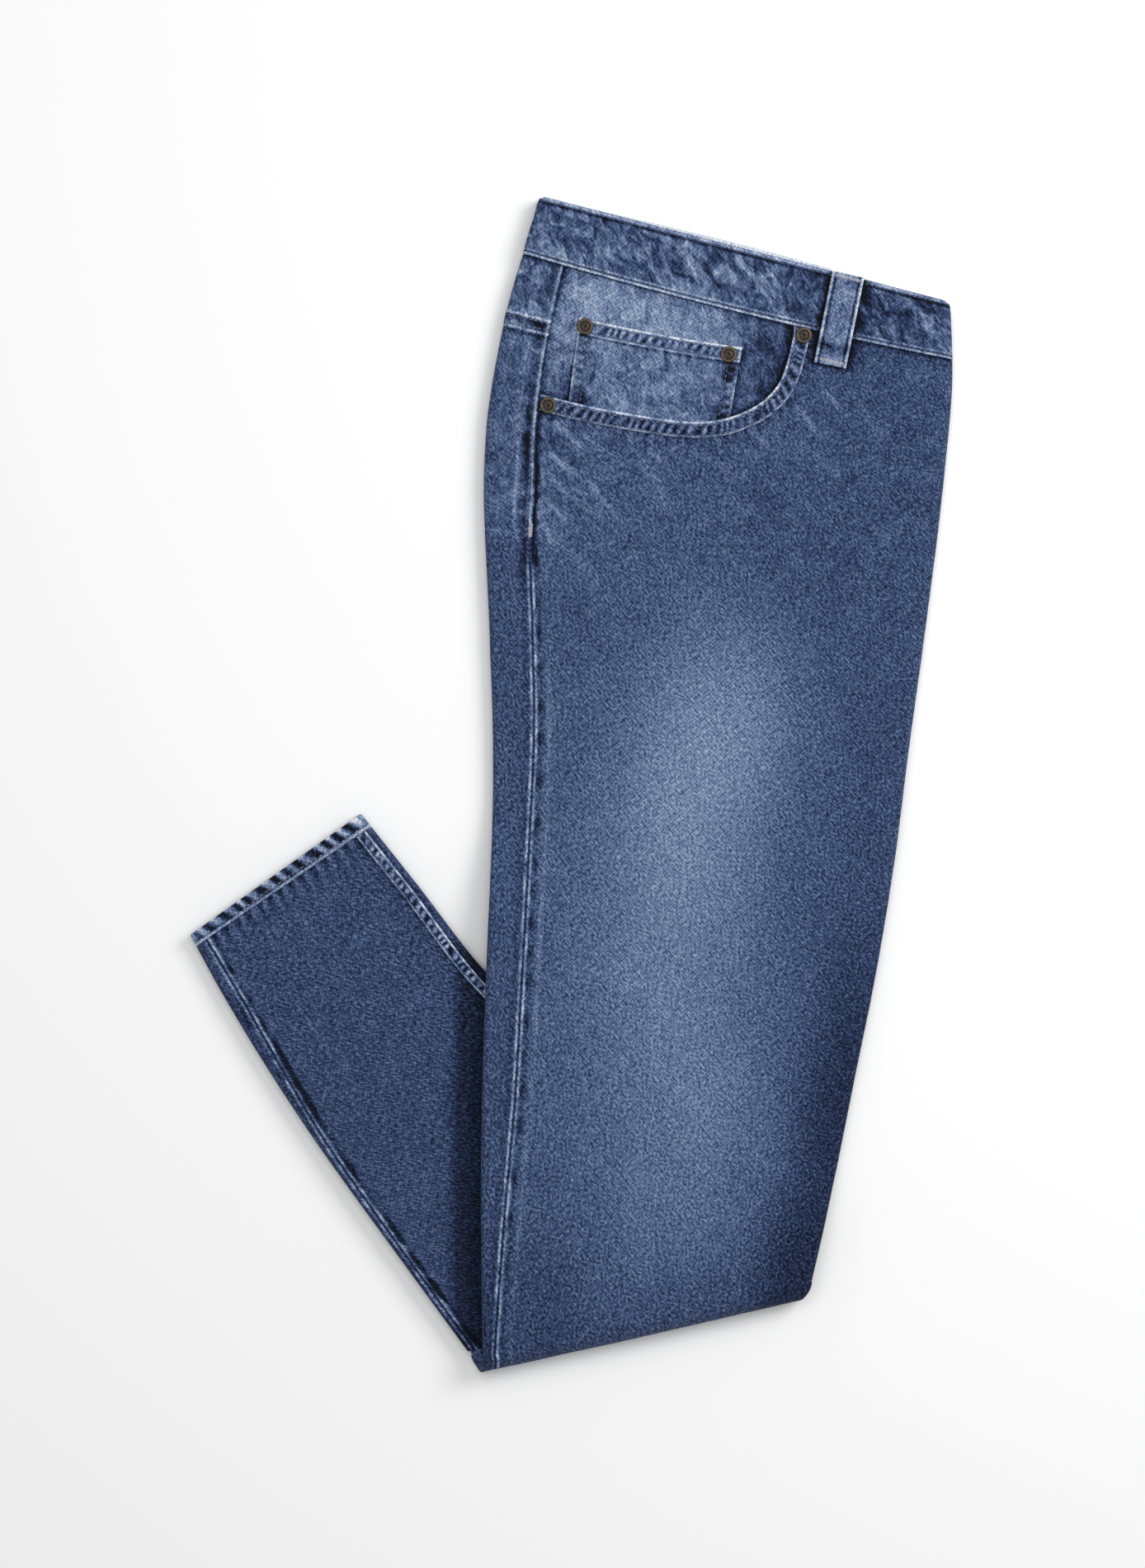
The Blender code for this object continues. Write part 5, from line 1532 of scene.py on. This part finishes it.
def make_pocket_hem():
    even, near, far = pocket_hem_plan()
    q = np.linspace(0.0, 1.0, 14)
    plan = mix(near[:, None, :], far[:, None, :], q[None, :, None])
    x, y = plan[..., 0], plan[..., 1]
    z = panel_height(x, y, True) + SKIN + GAP + TRIM_CLOTH
    sheet = Sheet(np.concatenate([plan, z[..., None]], axis=2))
    sheet.normals *= np.sign(sheet.normals[..., 2:3])
    along = np.broadcast_to(even[:, None], x.shape)
    across = np.broadcast_to((q * POCKET_HEM)[None, :], x.shape)
    height, sheet.tone = sewn_band(
        along, across, POCKET_HEM, *POCKET_ROWS, 121, pitch=5.4, pale=0.24, blocks=0.20, base=0.30)
    sheet.marble = np.full(x.shape, 0.40)
    sheet.raise_by(height)
    sheet.roll("left", HEM_OPEN_ROLL, darker=0.16)
    sheet.roll("right", HEM_SEWN_ROLL, darker=0.05)
    flipped = sheet.build("pocket_hem_cloth")
    flipped.data.flip_normals()
    return denim_piece(flipped, "pocket_opening_hem")


# Waistband

BAND_COLUMNS = 184

BAND_CREASES = (
    # place, start_px, start_py, end_px, end_py, half_width, height, paler
    ("left end", 690, 262, 704, 290, 1.3, 0.30, 0.15),
    ("by the left end", 716, 288, 728, 306, 1.1, 0.25, 0.13),
    ("over the coin pocket", 746, 274, 762, 302, 1.4, 0.35, 0.15),
    ("beside it", 776, 284, 794, 314, 1.2, 0.30, 0.15),
    ("short", 800, 306, 812, 330, 1.1, 0.25, 0.13),
    ("middle, high", 828, 284, 850, 318, 1.5, 0.35, 0.17),
    ("middle, low", 850, 304, 874, 342, 1.4, 0.35, 0.16),
    ("middle, beside it", 876, 312, 892, 344, 1.1, 0.25, 0.13),
    ("right of the middle", 896, 308, 926, 350, 1.6, 0.40, 0.17),
    ("right, branch", 918, 312, 944, 332, 1.0, 0.25, 0.12),
    ("before the belt loop", 946, 330, 974, 362, 1.3, 0.35, 0.14),
    ("past the belt loop", 1062, 350, 1084, 378, 1.3, 0.30, 0.14),
    ("right end", 1104, 366, 1124, 392, 1.2, 0.30, 0.12),
)


def band_ribbon(width):
    """The waistband's closed line in section with its normals, as in the solid but finer."""
    half = BAND_CLOTH / 2
    levels = [half + BAND_LAYER * k for k in range(4)]
    small = BAND_LAYER / 2
    left = small + half
    right = width - half - 1.5 * BAND_LAYER
    middle = (levels[1] + levels[2]) / 2
    count = BAND_COLUMNS

    def arc(u, w, radius, start, end, steps, sign=1.0):
        angles = np.radians(np.linspace(start, end, steps + 1))
        way = np.stack([np.cos(angles), np.sin(angles)], axis=1)
        return np.array([u, w]) + way * radius, way * sign

    def straight(start, end, w, normal):
        u = mix(start, end, (np.arange(count) + 1.0) / (count + 1.0))
        return np.stack([u, 0 * u + w], axis=1), np.stack([0 * u, 0 * u + normal], axis=1)

    pieces = [
        arc(left, (levels[2] + levels[3]) / 2, small, 90, 270, 12),
        straight(left, right, levels[2], -1.0),
        arc(right, middle, small, 90, -90, 12, -1.0),
        straight(right, left, levels[1], 1.0),
        arc(left, (levels[0] + levels[1]) / 2, small, 90, 270, 12),
        straight(left, right, levels[0], -1.0),
        arc(right, middle, 1.5 * BAND_LAYER, -90, 90, 20),
        straight(right, left, levels[3], 1.0),
    ]
    return np.concatenate([p[0] for p in pieces]), np.concatenate([p[1] for p in pieces])


def band_line(share):
    """The waistband's line at a share of its height: both ends, the ways along and down it, and its sag."""
    seam = Run(upper_rows([0.0]))
    left = mix(seam.left[0], BAND_TOP_LEFT, share)
    right = mix(seam.right[0], BAND_TOP_RIGHT, share)
    across = direction(right - left)
    return left, right, across, np.array([across[1], -across[0]]), seam.sag[0] * (1.0 - share)


def band_row(share, inset, side, tuck):
    """One row of the waistband at a share of its height, on its outer (1) or inner (-1) side."""
    left, right, across, down, bow = band_line(share)
    width = np.linalg.norm(right - left) - 2 * inset
    spots, normals = band_ribbon(width)
    moved = spots + normals * side * (BAND_CLOTH / 2 - tuck)
    along = moved[:, 0] / width
    bulge = 4.0 * along * (1.0 - along)
    back = (spots[:, 1] > BAND_LAYER) & (spots[:, 1] < 3 * BAND_LAYER)
    rise = np.where(back, BAND_BACK_RISE * share * np.maximum(bulge, 0.0) ** 2, 0.0)
    plan = left + across * (moved[:, 0] + inset)[:, None] + down * (bow * bulge - rise)[:, None]
    return np.concatenate([plan, moved[:, 1:2]], axis=1), spots


def band_sections():
    """The waistband's rows, with their shares of its height, sides and places on the cloth, from inside to its seam."""
    round_at = 1.0 - (BAND_CLOTH / 2) / BAND_HEIGHT
    sections = []
    for start, end, count in ((0.0, 0.12, 11), (0.12, 0.86, 20), (0.86, round_at, 8)):
        for share in np.linspace(start, end, count)[1 if sections else 0:]:
            corner = np.clip((share - 0.86) / 0.14, 0.0, 1.0)
            inset = BAND_CORNER * (1.0 - math.sqrt(1.0 - 0.98 * corner**2))
            sections.append((band_row(share, inset, 1.0, 0.0), share, 1.0, share * BAND_HEIGHT))
    outer_end = sections[-1][3]
    for angle in np.radians((25, 50, 75, 105, 130, 155, 180)):
        share = round_at + math.sin(angle) * (1.0 - round_at)
        reach = math.cos(angle) * BAND_CLOTH / 2
        side = math.copysign(1.0, reach)
        row = band_row(share, BAND_CORNER, side, BAND_CLOTH / 2 - abs(reach))
        sections.append((row, share, side, outer_end + angle * BAND_CLOTH / 2))
    inner_start = sections[-1][3]
    for share in (0.90, 0.80, 0.66):
        place = inner_start + (round_at - share) * BAND_HEIGHT
        sections.append((band_row(share, 0.3, -1.0, 0.0), share, -1.0, place))
    return sections[::-1]


def make_waistband():
    rows, shares, sides, places = zip(*band_sections())
    level = rows[-1][1][None, ::-1, 1]
    sheet = Sheet(np.stack([row[0] for row in rows])[:, ::-1], closed=True)
    x, y = sheet.plan()
    b = np.broadcast_to(np.array(shares)[:, None] * BAND_HEIGHT, x.shape)
    sheet.across = x * 1.03
    sheet.length = -np.array(places)[:, None] + 0.0 * b
    outer = (np.array(sides) > 0)[:, None] & np.ones(x.shape, bool)
    middle = ease(b, 1.0, 6.0) * (1.0 - ease(b, 31.0, 35.0))
    waves = rough(x / 9.0 + y / 40.0, (y - x) / 20.0, 135, 3)
    crease_height, crease_tone = laid_creases(x, y, BAND_CREASES, 15)
    low_edge = 0.6 + 0.8 * noise(x / 3.0, 0 * x, 137)
    tone = 0.362 + (0.16 * rough(x / 8.0, y / 8.0, 133, 3) + crease_tone) * middle - 0.42 * loop_shadow(x, y)
    tone -= 0.05 * bell(b, 27.0, 5.0) + 0.06 * ease(x, 150.0, 190.0)
    tone += 0.36 * bell(b, 0.8, 0.75) * low_edge - 0.26 * bell(b, 2.1, 0.5) + 0.26 * bell(b, 3.1, 0.6) * low_edge
    tone += 0.30 * bell(b, 34.9, 0.9) * (0.6 + 0.8 * noise(x / 4.0, 0 * x, 139)) - 0.27 * bell(b, 32.6, 0.8)
    height = (0.6 * waves + crease_height) * middle
    height += 0.20 * bell(b, 1.2, 1.1) - 0.18 * bell(b, 2.6, 0.6) - 0.20 * bell(b, 32.6, 0.7)

    lowest = level < 0.9 * BAND_LAYER
    highest = level > 2.5 * BAND_LAYER
    inside_out = (level > 0.9 * BAND_LAYER) & (level < 2.5 * BAND_LAYER) & (b > 30.0)
    sheet.tone = np.where(outer & ~inside_out, tone, 0.86)
    sheet.marble = np.where(outer, mix(0.35, 0.85, middle), 0.1)
    height = np.where(outer & (lowest | highest), height, 0.0)
    sheet.raise_by(np.where(lowest, np.minimum(height - 0.45, 0.0) * outer, height))
    return denim_piece(sheet.build("waistband_cloth"), "waistband")


# Belt loop and rivets


def make_belt_loop(over):
    down = spaced(0.0, 1.0, 0.8 / LOOP_LENGTH)
    u = np.linspace(-LOOP_WIDTH / 2 + 0.5, LOOP_WIDTH / 2 - 0.5, 33)[None, :]
    plan = LOOP_TOP + LOOP_WAY * (down * LOOP_LENGTH)[:, None, None] + LOOP_SIDE * u[..., None]
    coarse = plan[::3, ::4]
    seat, _ = over(coarse.reshape(-1, 2))
    seat = np.nanmax(seat.reshape(coarse.shape[:2]), axis=1)
    seat = np.maximum(seat, np.maximum(np.roll(seat, 1), np.roll(seat, -1)) - 0.4)
    base = np.interp(down, down[::3], seat) + GAP
    base = np.convolve(np.pad(base, 5, mode="edge"), np.ones(11) / 11, mode="valid")
    z = base + LOOP_BOW * np.sin(math.pi * down) + LOOP_CLOTH
    points = np.concatenate([plan, np.broadcast_to(z[:, None, None], plan.shape[:2] + (1,))], axis=2)
    sheet = Sheet(points)
    sheet.normals *= np.sign(sheet.normals[..., 2:3])
    s = np.broadcast_to((down * LOOP_LENGTH)[:, None], sheet.tone.shape)
    q = np.abs(u)
    worn = 0.55 + 0.8 * noise(s / 3.0, q / 30.0 + u / 40.0, 141)
    waves = rough(s / 9.0 + u / 9.0, u / 12.0, 143, 2)
    tone = 0.47 + 0.12 * rough(s / 5.0, u / 5.0, 145, 3)
    tone += 0.34 * bell(q, 9.3, 0.9) * worn - 0.32 * bell(q, 7.3, 0.8) - 0.07 * bell(u, 0.0, 0.5)
    tone -= 0.24 * bell(s, 44.5, 2.6) * noise(s / 5.0, u / 4.0 + 7.0, 147) * 1.6
    tone += 0.12 * bell(s, 1.2, 1.2) + 0.12 * bell(s, LOOP_LENGTH - 1.0, 1.2)
    height = 0.20 * waves + 0.25 * bell(q, 8.8, 1.2) - 0.18 * bell(q, 7.2, 0.8)
    height -= 0.45 * ease(q, 8.9, 9.6) + 0.3 * bell(s, 5.0, 1.6) + 0.3 * bell(s, LOOP_LENGTH - 4.5, 1.6)
    sheet.marble = np.full(tone.shape, 0.35)
    sheet.tone = tone
    sheet.raise_by(height)
    for border in ("left", "right", "top", "bottom"):
        sheet.roll(border, LOOP_ROLL, darker=0.12)
    thing = sheet.build("belt_loop_cloth")
    if thing.data.polygons[len(thing.data.polygons) // 2].normal.z < 0:
        thing.data.flip_normals()
    return denim_piece(thing, "belt_loop")


def make_rivets(over):
    angles = np.arange(RIVET_SIDES) * math.tau / RIVET_SIDES
    radius, rise = np.array(RIVET_PROFILE).T
    for name, x, y in RIVETS:
        rim = np.stack([x + 5.0 * np.cos(angles[::4]), y + 5.0 * np.sin(angles[::4])], axis=1)
        seat = np.nanmax(over(np.concatenate([rim, [[x, y]]]))[0]) - 0.1
        points = np.stack([
            x + radius[:, None] * np.cos(angles)[None, :],
            y + radius[:, None] * np.sin(angles)[None, :],
            seat + rise[:, None] + 0 * angles[None, :],
        ], axis=2)
        sheet = Sheet(points, closed=True)
        ring = 0.22 * bell(radius, 1.9, 0.40) + 0.20 * bell(radius, 4.1, 0.6) - 0.30 * bell(radius, 2.9, 0.5)
        sheet.tone = np.broadcast_to((0.40 + ring - 0.34 * bell(radius, 0.0, 0.9))[:, None], sheet.tone.shape).copy()
        thing = sheet.build(name + "_metal", cap=True)
        thing.data.flip_normals()
        finish_piece(thing, BRASS, [name])


# Hems


def hem_sections(radius):
    """A hem's rows, down its outside, round its edge and up inside: place along the leg, half thickness, lining."""
    inside = radius - HEM_CLOTH
    down = spaced(HEM_SEAM_AT, 1.0 - 0.9 / LOWER_LENGTH, 0.8 / LOWER_LENGTH)
    rows = [(v, radius, 0.0) for v in down]
    for angle in np.radians((30, 60, 90, 120, 150, 180)):
        rows.append((mix(down[-1], 1.0, math.sin(angle)), mix(radius, inside, (1 - math.cos(angle)) / 2), 0.0))
    return rows + [(HEM_SEAM_AT + 2.0 / LOWER_LENGTH, inside, 1.0)]


def hem_row(v, size, radius, middle, columns, roping):
    """One row of a hem in space, and how its roping rises and falls along it."""
    run = Run(lower_rows([v]))
    start = radius
    end = run.width[0] - radius
    down = (v - HEM_SEAM_AT) * LOWER_LENGTH
    share = (np.arange(columns) + 0.5) / columns
    wave = np.cos(math.tau * (ROPING_WAVES * share + 0.05 * down) + 0.9 * np.sin(share * 23.0))
    dip = ROPING_DEPTH * (1.0 - wave) * roping * ease(down, 1.0, 3.2)
    back = (np.arange(HEM_LOW_COLUMNS) + 0.5) / HEM_LOW_COLUMNS

    def turned(u, first, last):
        angle = np.linspace(first, last, 13)
        return np.stack([u + np.cos(angle) * size, middle + np.sin(angle) * size], axis=1)

    loop = np.concatenate([
        np.stack([mix(start, end, share), middle + size - dip], axis=1),
        turned(end, math.pi / 2, -math.pi / 2),
        np.stack([mix(end, start, back), np.full(HEM_LOW_COLUMNS, middle - size)], axis=1),
        turned(start, -math.pi / 2, -3 * math.pi / 2),
    ])
    plan = run.left[0] + run.across[0] * loop[:, :1]
    return np.concatenate([plan, loop[:, 1:2]], axis=1), np.concatenate([wave, np.zeros(len(loop) - columns)])


def make_hem(name, node, low, high, roped):
    radius = (high - low) / 2
    middle = (high + low) / 2
    columns = ROPING_WAVES * 12 if roped else 60
    sections = hem_sections(radius)
    rows = [hem_row(v, size, radius, middle, columns, roped and lining == 0) for v, size, lining in sections]
    sheet = Sheet(np.stack([row[0] for row in rows]), closed=True)
    wave = np.stack([row[1] for row in rows])
    down = (np.array([section[0] for section in sections])[:, None] - HEM_SEAM_AT) * LOWER_LENGTH + 0.0 * wave
    lining = np.array([section[2] for section in sections])[:, None]
    ends = np.arange(wave.shape[1])
    position = np.broadcast_to(ends[None, :] * 0.8, wave.shape)
    uneven = 0.5 + noise(position / 7.0, down / 9.0, 151)
    tone = 0.33 + 0.28 * wave * uneven * ease(down, 1.8, 3.4) + 0.16 * bell(down, 8.6, 0.9) * (wave > 0)
    tone += 0.12 * rough(position / 3.0, down / 3.0, 153, 3)
    tone += 0.34 * bell(down, 1.1, 0.75) - 0.16 * bell(down, 2.6, 0.6)
    corner = bell(ends, columns + 6.0, 14.0) + bell(ends, len(ends) - 6.0, 12.0) + bell(ends, 0.0, 10.0)
    tone += 0.22 * corner[None, :] * uneven
    sheet.tone = np.where(lining > 0, 0.55, tone)
    thing = sheet.build(name)
    if thing.data.polygons[columns // 2].normal.z < 0:
        thing.data.flip_normals()
    return denim_piece(thing, node)


# Stitches

STITCH_RING = 6
STITCH_PITCH = 3.3
STITCH_LENGTH = 2.3
STITCH_RADIUS = 0.28
TACK_PITCH = 0.55
TACK_RADIUS = 0.26

# How far stitches on the side that lies on the floor are sunk into the cloth
SUNK_BELOW = 0.38

# A stitch whose ends differ more than this in height would hang over an edge, and is left out
MOST_RISE = 1.2

STITCH_SHAPE = (
    # share of its length, thickness, rise
    (0.00, 0.35, -0.30),
    (0.16, 0.95, 0.00),
    (0.50, 1.05, 0.05),
    (0.84, 0.95, 0.00),
    (1.00, 0.35, -0.30),
)


def resample(line, step):
    line = np.asarray(line, float)
    sizes = np.linalg.norm(np.diff(line, axis=0), axis=1)
    along = cumulated(sizes)
    return at_places(np.arange(0.0, along[-1], step), along, line)


def smooth_line(spots, steps=8):
    """A smooth line through places in plan."""
    spots = [np.array(s, float) for s in spots]
    line = []
    for k in range(len(spots) - 1):
        before = (spots[k + 1] - spots[max(k - 1, 0)]) / 2
        after = (spots[min(k + 2, len(spots) - 1)] - spots[k]) / 2
        for step in range(steps):
            line.append(hermite(spots[k], spots[k + 1], before, after, 1.0, step / steps))
    return np.array(line + [spots[-1]])


class Stitches:
    """Many small stitches joined in one mesh. Their thread is dark and worn at pale 0, and light at 1."""

    def __init__(self, pale):
        self.pale = pale
        self.points = []
        self.faces = []
        self.places = []
        self.tones = []

    def add(self, start, end, normal, radius, sink=0.0):
        way = end - start
        size = np.linalg.norm(way)
        if not size > 0.2:
            return
        way = way / size
        side = np.cross(normal, way)
        side /= np.linalg.norm(side)
        up = np.cross(way, side)
        base = len(self.points)
        for share, thick, rise in STITCH_SHAPE:
            centre = start + way * size * share + up * (radius * (0.45 + rise * 2) - sink)
            for k in range(STITCH_RING):
                angle = math.tau * k / STITCH_RING
                spot = centre + side * math.cos(angle) * radius * thick + up * math.sin(angle) * radius * thick * 0.8
                self.points.append(spot)
                self.places.append((size * share * 1.4 + base * 0.37, angle, 0.0))
                self.tones.append(self.pale)
        for ring in range(len(STITCH_SHAPE) - 1):
            for k in range(STITCH_RING):
                a = base + ring * STITCH_RING + k
                b = base + ring * STITCH_RING + (k + 1) % STITCH_RING
                self.faces.append((a, b, b + STITCH_RING, a + STITCH_RING))
        self.faces.append(tuple(base + k for k in reversed(range(STITCH_RING))))
        last = base + (len(STITCH_SHAPE) - 1) * STITCH_RING
        self.faces.append(tuple(last + k for k in range(STITCH_RING)))

    def row(self, line, over, seed, slant=0.0, from_below=False):
        """A row of stitches along a line in plan, seated on a surface."""
        spots = resample(line, STITCH_PITCH)
        if len(spots) < 2:
            return
        way = np.gradient(spots, axis=0)
        way /= np.linalg.norm(way, axis=1, keepdims=True)
        side = np.stack([way[:, 1], -way[:, 0]], axis=1)
        wander = (noise(np.arange(len(spots)) * 0.9, 0.0, seed) - 0.5)[:, None] * 0.22
        start = spots + side * (wander - slant / 2)
        end = start + way * STITCH_LENGTH + side * slant
        low, normal_a = over(start, from_below)
        high, _ = over(end, from_below)
        for k in range(len(spots)):
            if np.isnan(low[k]) or np.isnan(high[k]) or abs(low[k] - high[k]) > MOST_RISE:
                continue
            first, second = np.append(start[k], low[k]), np.append(end[k], high[k])
            self.add(first, second, normal_a[k], STITCH_RADIUS, SUNK_BELOW if from_below else 0.0)

    def tack(self, start, end, width, over):
        """A bar tack: a dense zigzag across a short line."""
        start = np.array(start, float)
        end = np.array(end, float)
        size = np.linalg.norm(end - start)
        way = (end - start) / size
        side = np.array([way[1], -way[0]])
        for k, share in enumerate(np.arange(0.0, 1.0, TACK_PITCH / size)):
            middle = mix(start, end, share)
            lean = way * 0.25 * (1 if k % 2 else -1)
            a = middle - side * width / 2 - lean
            b = middle + side * width / 2 + lean
            heights, normals = over(np.stack([a, b]))
            if np.isnan(heights).any() or abs(heights[0] - heights[1]) > 1.5:
                continue
            self.add(np.append(a, heights[0]), np.append(b, heights[1]), normals[0], TACK_RADIUS)

    def build(self, name):
        mesh = bpy.data.meshes.new(name)
        mesh.from_pydata((np.array(self.points) * MM).tolist(), [], self.faces)
        weave = mesh.attributes.new("weave_place", "FLOAT_VECTOR", "POINT")
        weave.data.foreach_set("vector", np.array(self.places, np.float32).ravel())
        tone = mesh.attributes.new("tone", "FLOAT", "POINT")
        tone.data.foreach_set("value", np.array(self.tones, np.float32))
        mesh.shade_smooth()
        thing = bpy.data.objects.new(name, mesh)
        bpy.context.collection.objects.link(thing)
        return finish_piece(thing, THREAD)


# Rows of stitches, as places in the photograph
FELL_OUTER_ROW = [(441.5, 995), (466, 1025), (483, 1049.6), (499.5, 1074.5), (516, 1099), (533, 1119),
                  (549, 1139), (566, 1164), (589, 1197)]
FELL_INNER_ROW = [(443, 1020), (455, 1036), (471, 1059.5), (493, 1091), (516, 1126), (537.6, 1156),
                  (557.5, 1187), (584, 1222)]
HEM_ROW = [(238, 1147), (265, 1132), (285, 1111), (309, 1091), (340, 1069), (371, 1048), (402.5, 1028),
           (431, 1008.6), (442, 995)]


def band_row_line(share, start, end):
    left, right, _, down, sag = band_line(share)
    a = np.linspace(start, end, 60)
    bow = sag * 4.0 * a * (1.0 - a)
    return mix(left[None, :], right[None, :], a[:, None]) + down[None, :] * bow[:, None]


def side_seam_line(start, end, d):
    run = Run(upper_rows(np.linspace(start, end, 60)))
    share = run.side / run.width
    bow = run.sag * 4.0 * share * (1.0 - share)
    return run.left + run.across * (run.side + d)[:, None] + run.outward * bow[:, None]


def waistband_stitches(band, below):
    made = Stitches(0.30)
    made.row(band_row_line(0.93, 0.012, 0.995), band, seed=2)
    made.row(band_row_line(0.055, 0.008, 0.995), band, seed=3)
    made.row(band_row_line(0.93, 0.012, 0.985), below, from_below=True, seed=4)
    made.row(band_row_line(0.055, 0.012, 0.985), below, from_below=True, seed=5)
    made.build("waistband_stitches")


def side_and_pocket_stitches(hem_band, back, tacked):
    made = Stitches(0.48)
    for inset, seed in zip(POCKET_ROWS, (6, 7)):
        made.row(pocket_edge(inset)[1:-1], hem_band, seed=seed)
    made.row(side_seam_line(0.004, SEAM_TACK_AT, -2.4), back, slant=0.55, seed=8)
    for down, seed in ((-5.6, 15), (-1.6, 19)):
        run = Run(upper_rows([YOKE_SEAM_AT + down / UPPER_LENGTH]))
        a = np.linspace(1.0, run.side[0] - 0.8, 20)
        made.row(run.left[0] + run.across[0] * a[:, None] + run.outward[0] * 0.9, back, seed=seed)
    made.pale = 0.80
    made.tack(photo(644.0, 635), photo(642.5, 651), 2.4, tacked)
    made.build("side_and_pocket_stitches")


def coin_pocket_stitches(coin):
    made = Stitches(0.42)
    across = direction(COIN_TOP_RIGHT - COIN_TOP_LEFT)
    down = np.array([across[1], -across[0]])
    a = np.linspace(0.0, 1.0, 30)
    for inset, seed in zip(COIN_ROWS, (21, 27)):
        line = mix(COIN_TOP_LEFT, COIN_TOP_RIGHT, a[:, None]) + down * (inset + 1.18 * 4 * a * (1 - a))[:, None]
        made.row(line[1:], coin, seed=seed)
    for inset in (1.4, 6.6):
        for top, low, inward, seed in ((COIN_TOP_LEFT, COIN_LOW_LEFT, across, 23),
                                       (COIN_TOP_RIGHT, COIN_LOW_RIGHT, -across, 24)):
            made.row(np.array([top + inward * inset + down * 1.0, low + inward * inset]), coin, seed=seed)
    made.build("coin_pocket_stitches")


def belt_loop_stitches(loop):
    made = Stitches(0.40)
    for offset in (-5.0, 5.0):
        start, end = LOOP_TOP + LOOP_WAY * 1.5, LOOP_FOOT - LOOP_WAY * 1.5
        made.row(np.array([start + LOOP_SIDE * offset, end + LOOP_SIDE * offset]), loop, seed=30)
    made.pale = 0.72
    made.tack(photo(1013, 334), photo(1042, 341.5), 2.0, loop)
    made.tack(photo(994, 435), photo(1022, 442), 2.0, loop)
    made.build("belt_loop_stitches")


def hem_and_inseam_stitches(lower, below):
    made = Stitches(0.42)
    made.row(smooth_line([photo(*p) for p in FELL_OUTER_ROW])[6:], lower, seed=40)
    made.row(smooth_line([photo(*p) for p in FELL_INNER_ROW]), lower, seed=41)
    made.pale = 0.62
    made.row(smooth_line([photo(*p) for p in HEM_ROW]), lower, seed=42)
    run = Run(lower_rows([HEM_SEAM_AT + 1.4 / LOWER_LENGTH]))
    ends = np.array([run.left[0] + run.across[0] * 4.0, run.right[0] - run.across[0] * 4.0])
    made.row(ends, below, from_below=True, seed=43)
    made.build("hem_and_inseam_stitches")


def make_stitches(pieces):
    back = surface(pieces["back"], pieces["yoke"])
    below = surface(pieces["band"], pieces["right_hem"])
    waistband_stitches(surface(pieces["band"]), below)
    side_and_pocket_stitches(surface(pieces["hem_band"]), back, surface(pieces["front"], pieces["back"]))
    coin_pocket_stitches(surface(pieces["coin"]))
    belt_loop_stitches(surface(pieces["loop"]))
    hem_and_inseam_stitches(surface(pieces["fell"], pieces["left_hem"]), below)


# Stage

CAMERA_HEIGHT = 3.0
FRAME_HEIGHT = 0.95
SENSOR = 36.0
LOOK_AT = (0.00025, -0.00025, 0.010)


def area_light(name, place, size, power):
    data = bpy.data.lights.new(name, "AREA")
    data.shape = "SQUARE"
    data.size = size
    data.energy = power
    lamp = bpy.data.objects.new(name, data)
    lamp.location = place
    lamp.rotation_euler = (-Vector(place)).to_track_quat("-Z", "Y").to_euler()
    bpy.context.collection.objects.link(lamp)


def make_stage():
    mesh = bpy.data.meshes.new("floor")
    size = 6.0
    mesh.from_pydata([(-size, -size, 0), (size, -size, 0), (size, size, 0), (-size, size, 0)], [], [(0, 1, 2, 3)])
    floor = bpy.data.objects.new("floor", mesh)
    floor.location.z = -0.0002
    bpy.context.collection.objects.link(floor)
    n = Nodes("floor_paper")
    n.shader.inputs["Base Color"].default_value = (0.98, 0.98, 0.98, 1.0)
    n.shader.inputs["Roughness"].default_value = 0.9
    n.shader.inputs["Specular IOR Level"].default_value = 0.1
    mesh.materials.append(n.material)

    area_light("key_light", (1.3, 0.8, 1.3), 1.0, 21.0)
    area_light("top_light", (-0.2, 0.3, 2.6), 2.2, 29.0)
    world = bpy.data.worlds.new("studio")
    world.use_nodes = True
    world.node_tree.nodes["Background"].inputs["Color"].default_value = (1.0, 1.0, 1.0, 1.0)
    world.node_tree.nodes["Background"].inputs["Strength"].default_value = 0.36
    bpy.context.scene.world = world
    bpy.context.scene.view_settings.view_transform = "Standard"


def make_camera():
    data = bpy.data.cameras.new("camera")
    data.sensor_fit = "AUTO"
    data.sensor_width = SENSOR
    data.lens = SENSOR * CAMERA_HEIGHT / FRAME_HEIGHT
    data.clip_start = 0.1
    data.clip_end = 20.0
    camera = bpy.data.objects.new("camera", data)
    camera.location = (LOOK_AT[0], LOOK_AT[1], LOOK_AT[2] + CAMERA_HEIGHT)
    bpy.context.collection.objects.link(camera)
    bpy.context.scene.camera = camera


def main():
    make_camera()
    make_stage()
    make_inner_layers()
    pieces = {"front": make_front_panel()}
    pieces["back"], pieces["yoke"] = make_back_panels()
    make_lower_front()
    make_lower_strips()
    pieces["fell"] = make_fell()
    make_facing()
    pieces["coin"] = make_coin_pocket()
    pieces["hem_band"] = make_pocket_hem()
    pieces["band"] = make_waistband()
    pieces["loop"] = make_belt_loop(surface(pieces["front"], pieces["band"]))
    make_rivets(surface(pieces["coin"], pieces["hem_band"], pieces["front"]))
    each = (HEM_TOTAL - HEM_SPACE) / 2
    pieces["right_hem"] = make_hem("right_hem_cloth", "right_hem", 0.0, each, False)
    pieces["left_hem"] = make_hem("left_hem_cloth", "left_hem", each + HEM_SPACE, HEM_TOTAL, True)
    make_stitches(pieces)


main()
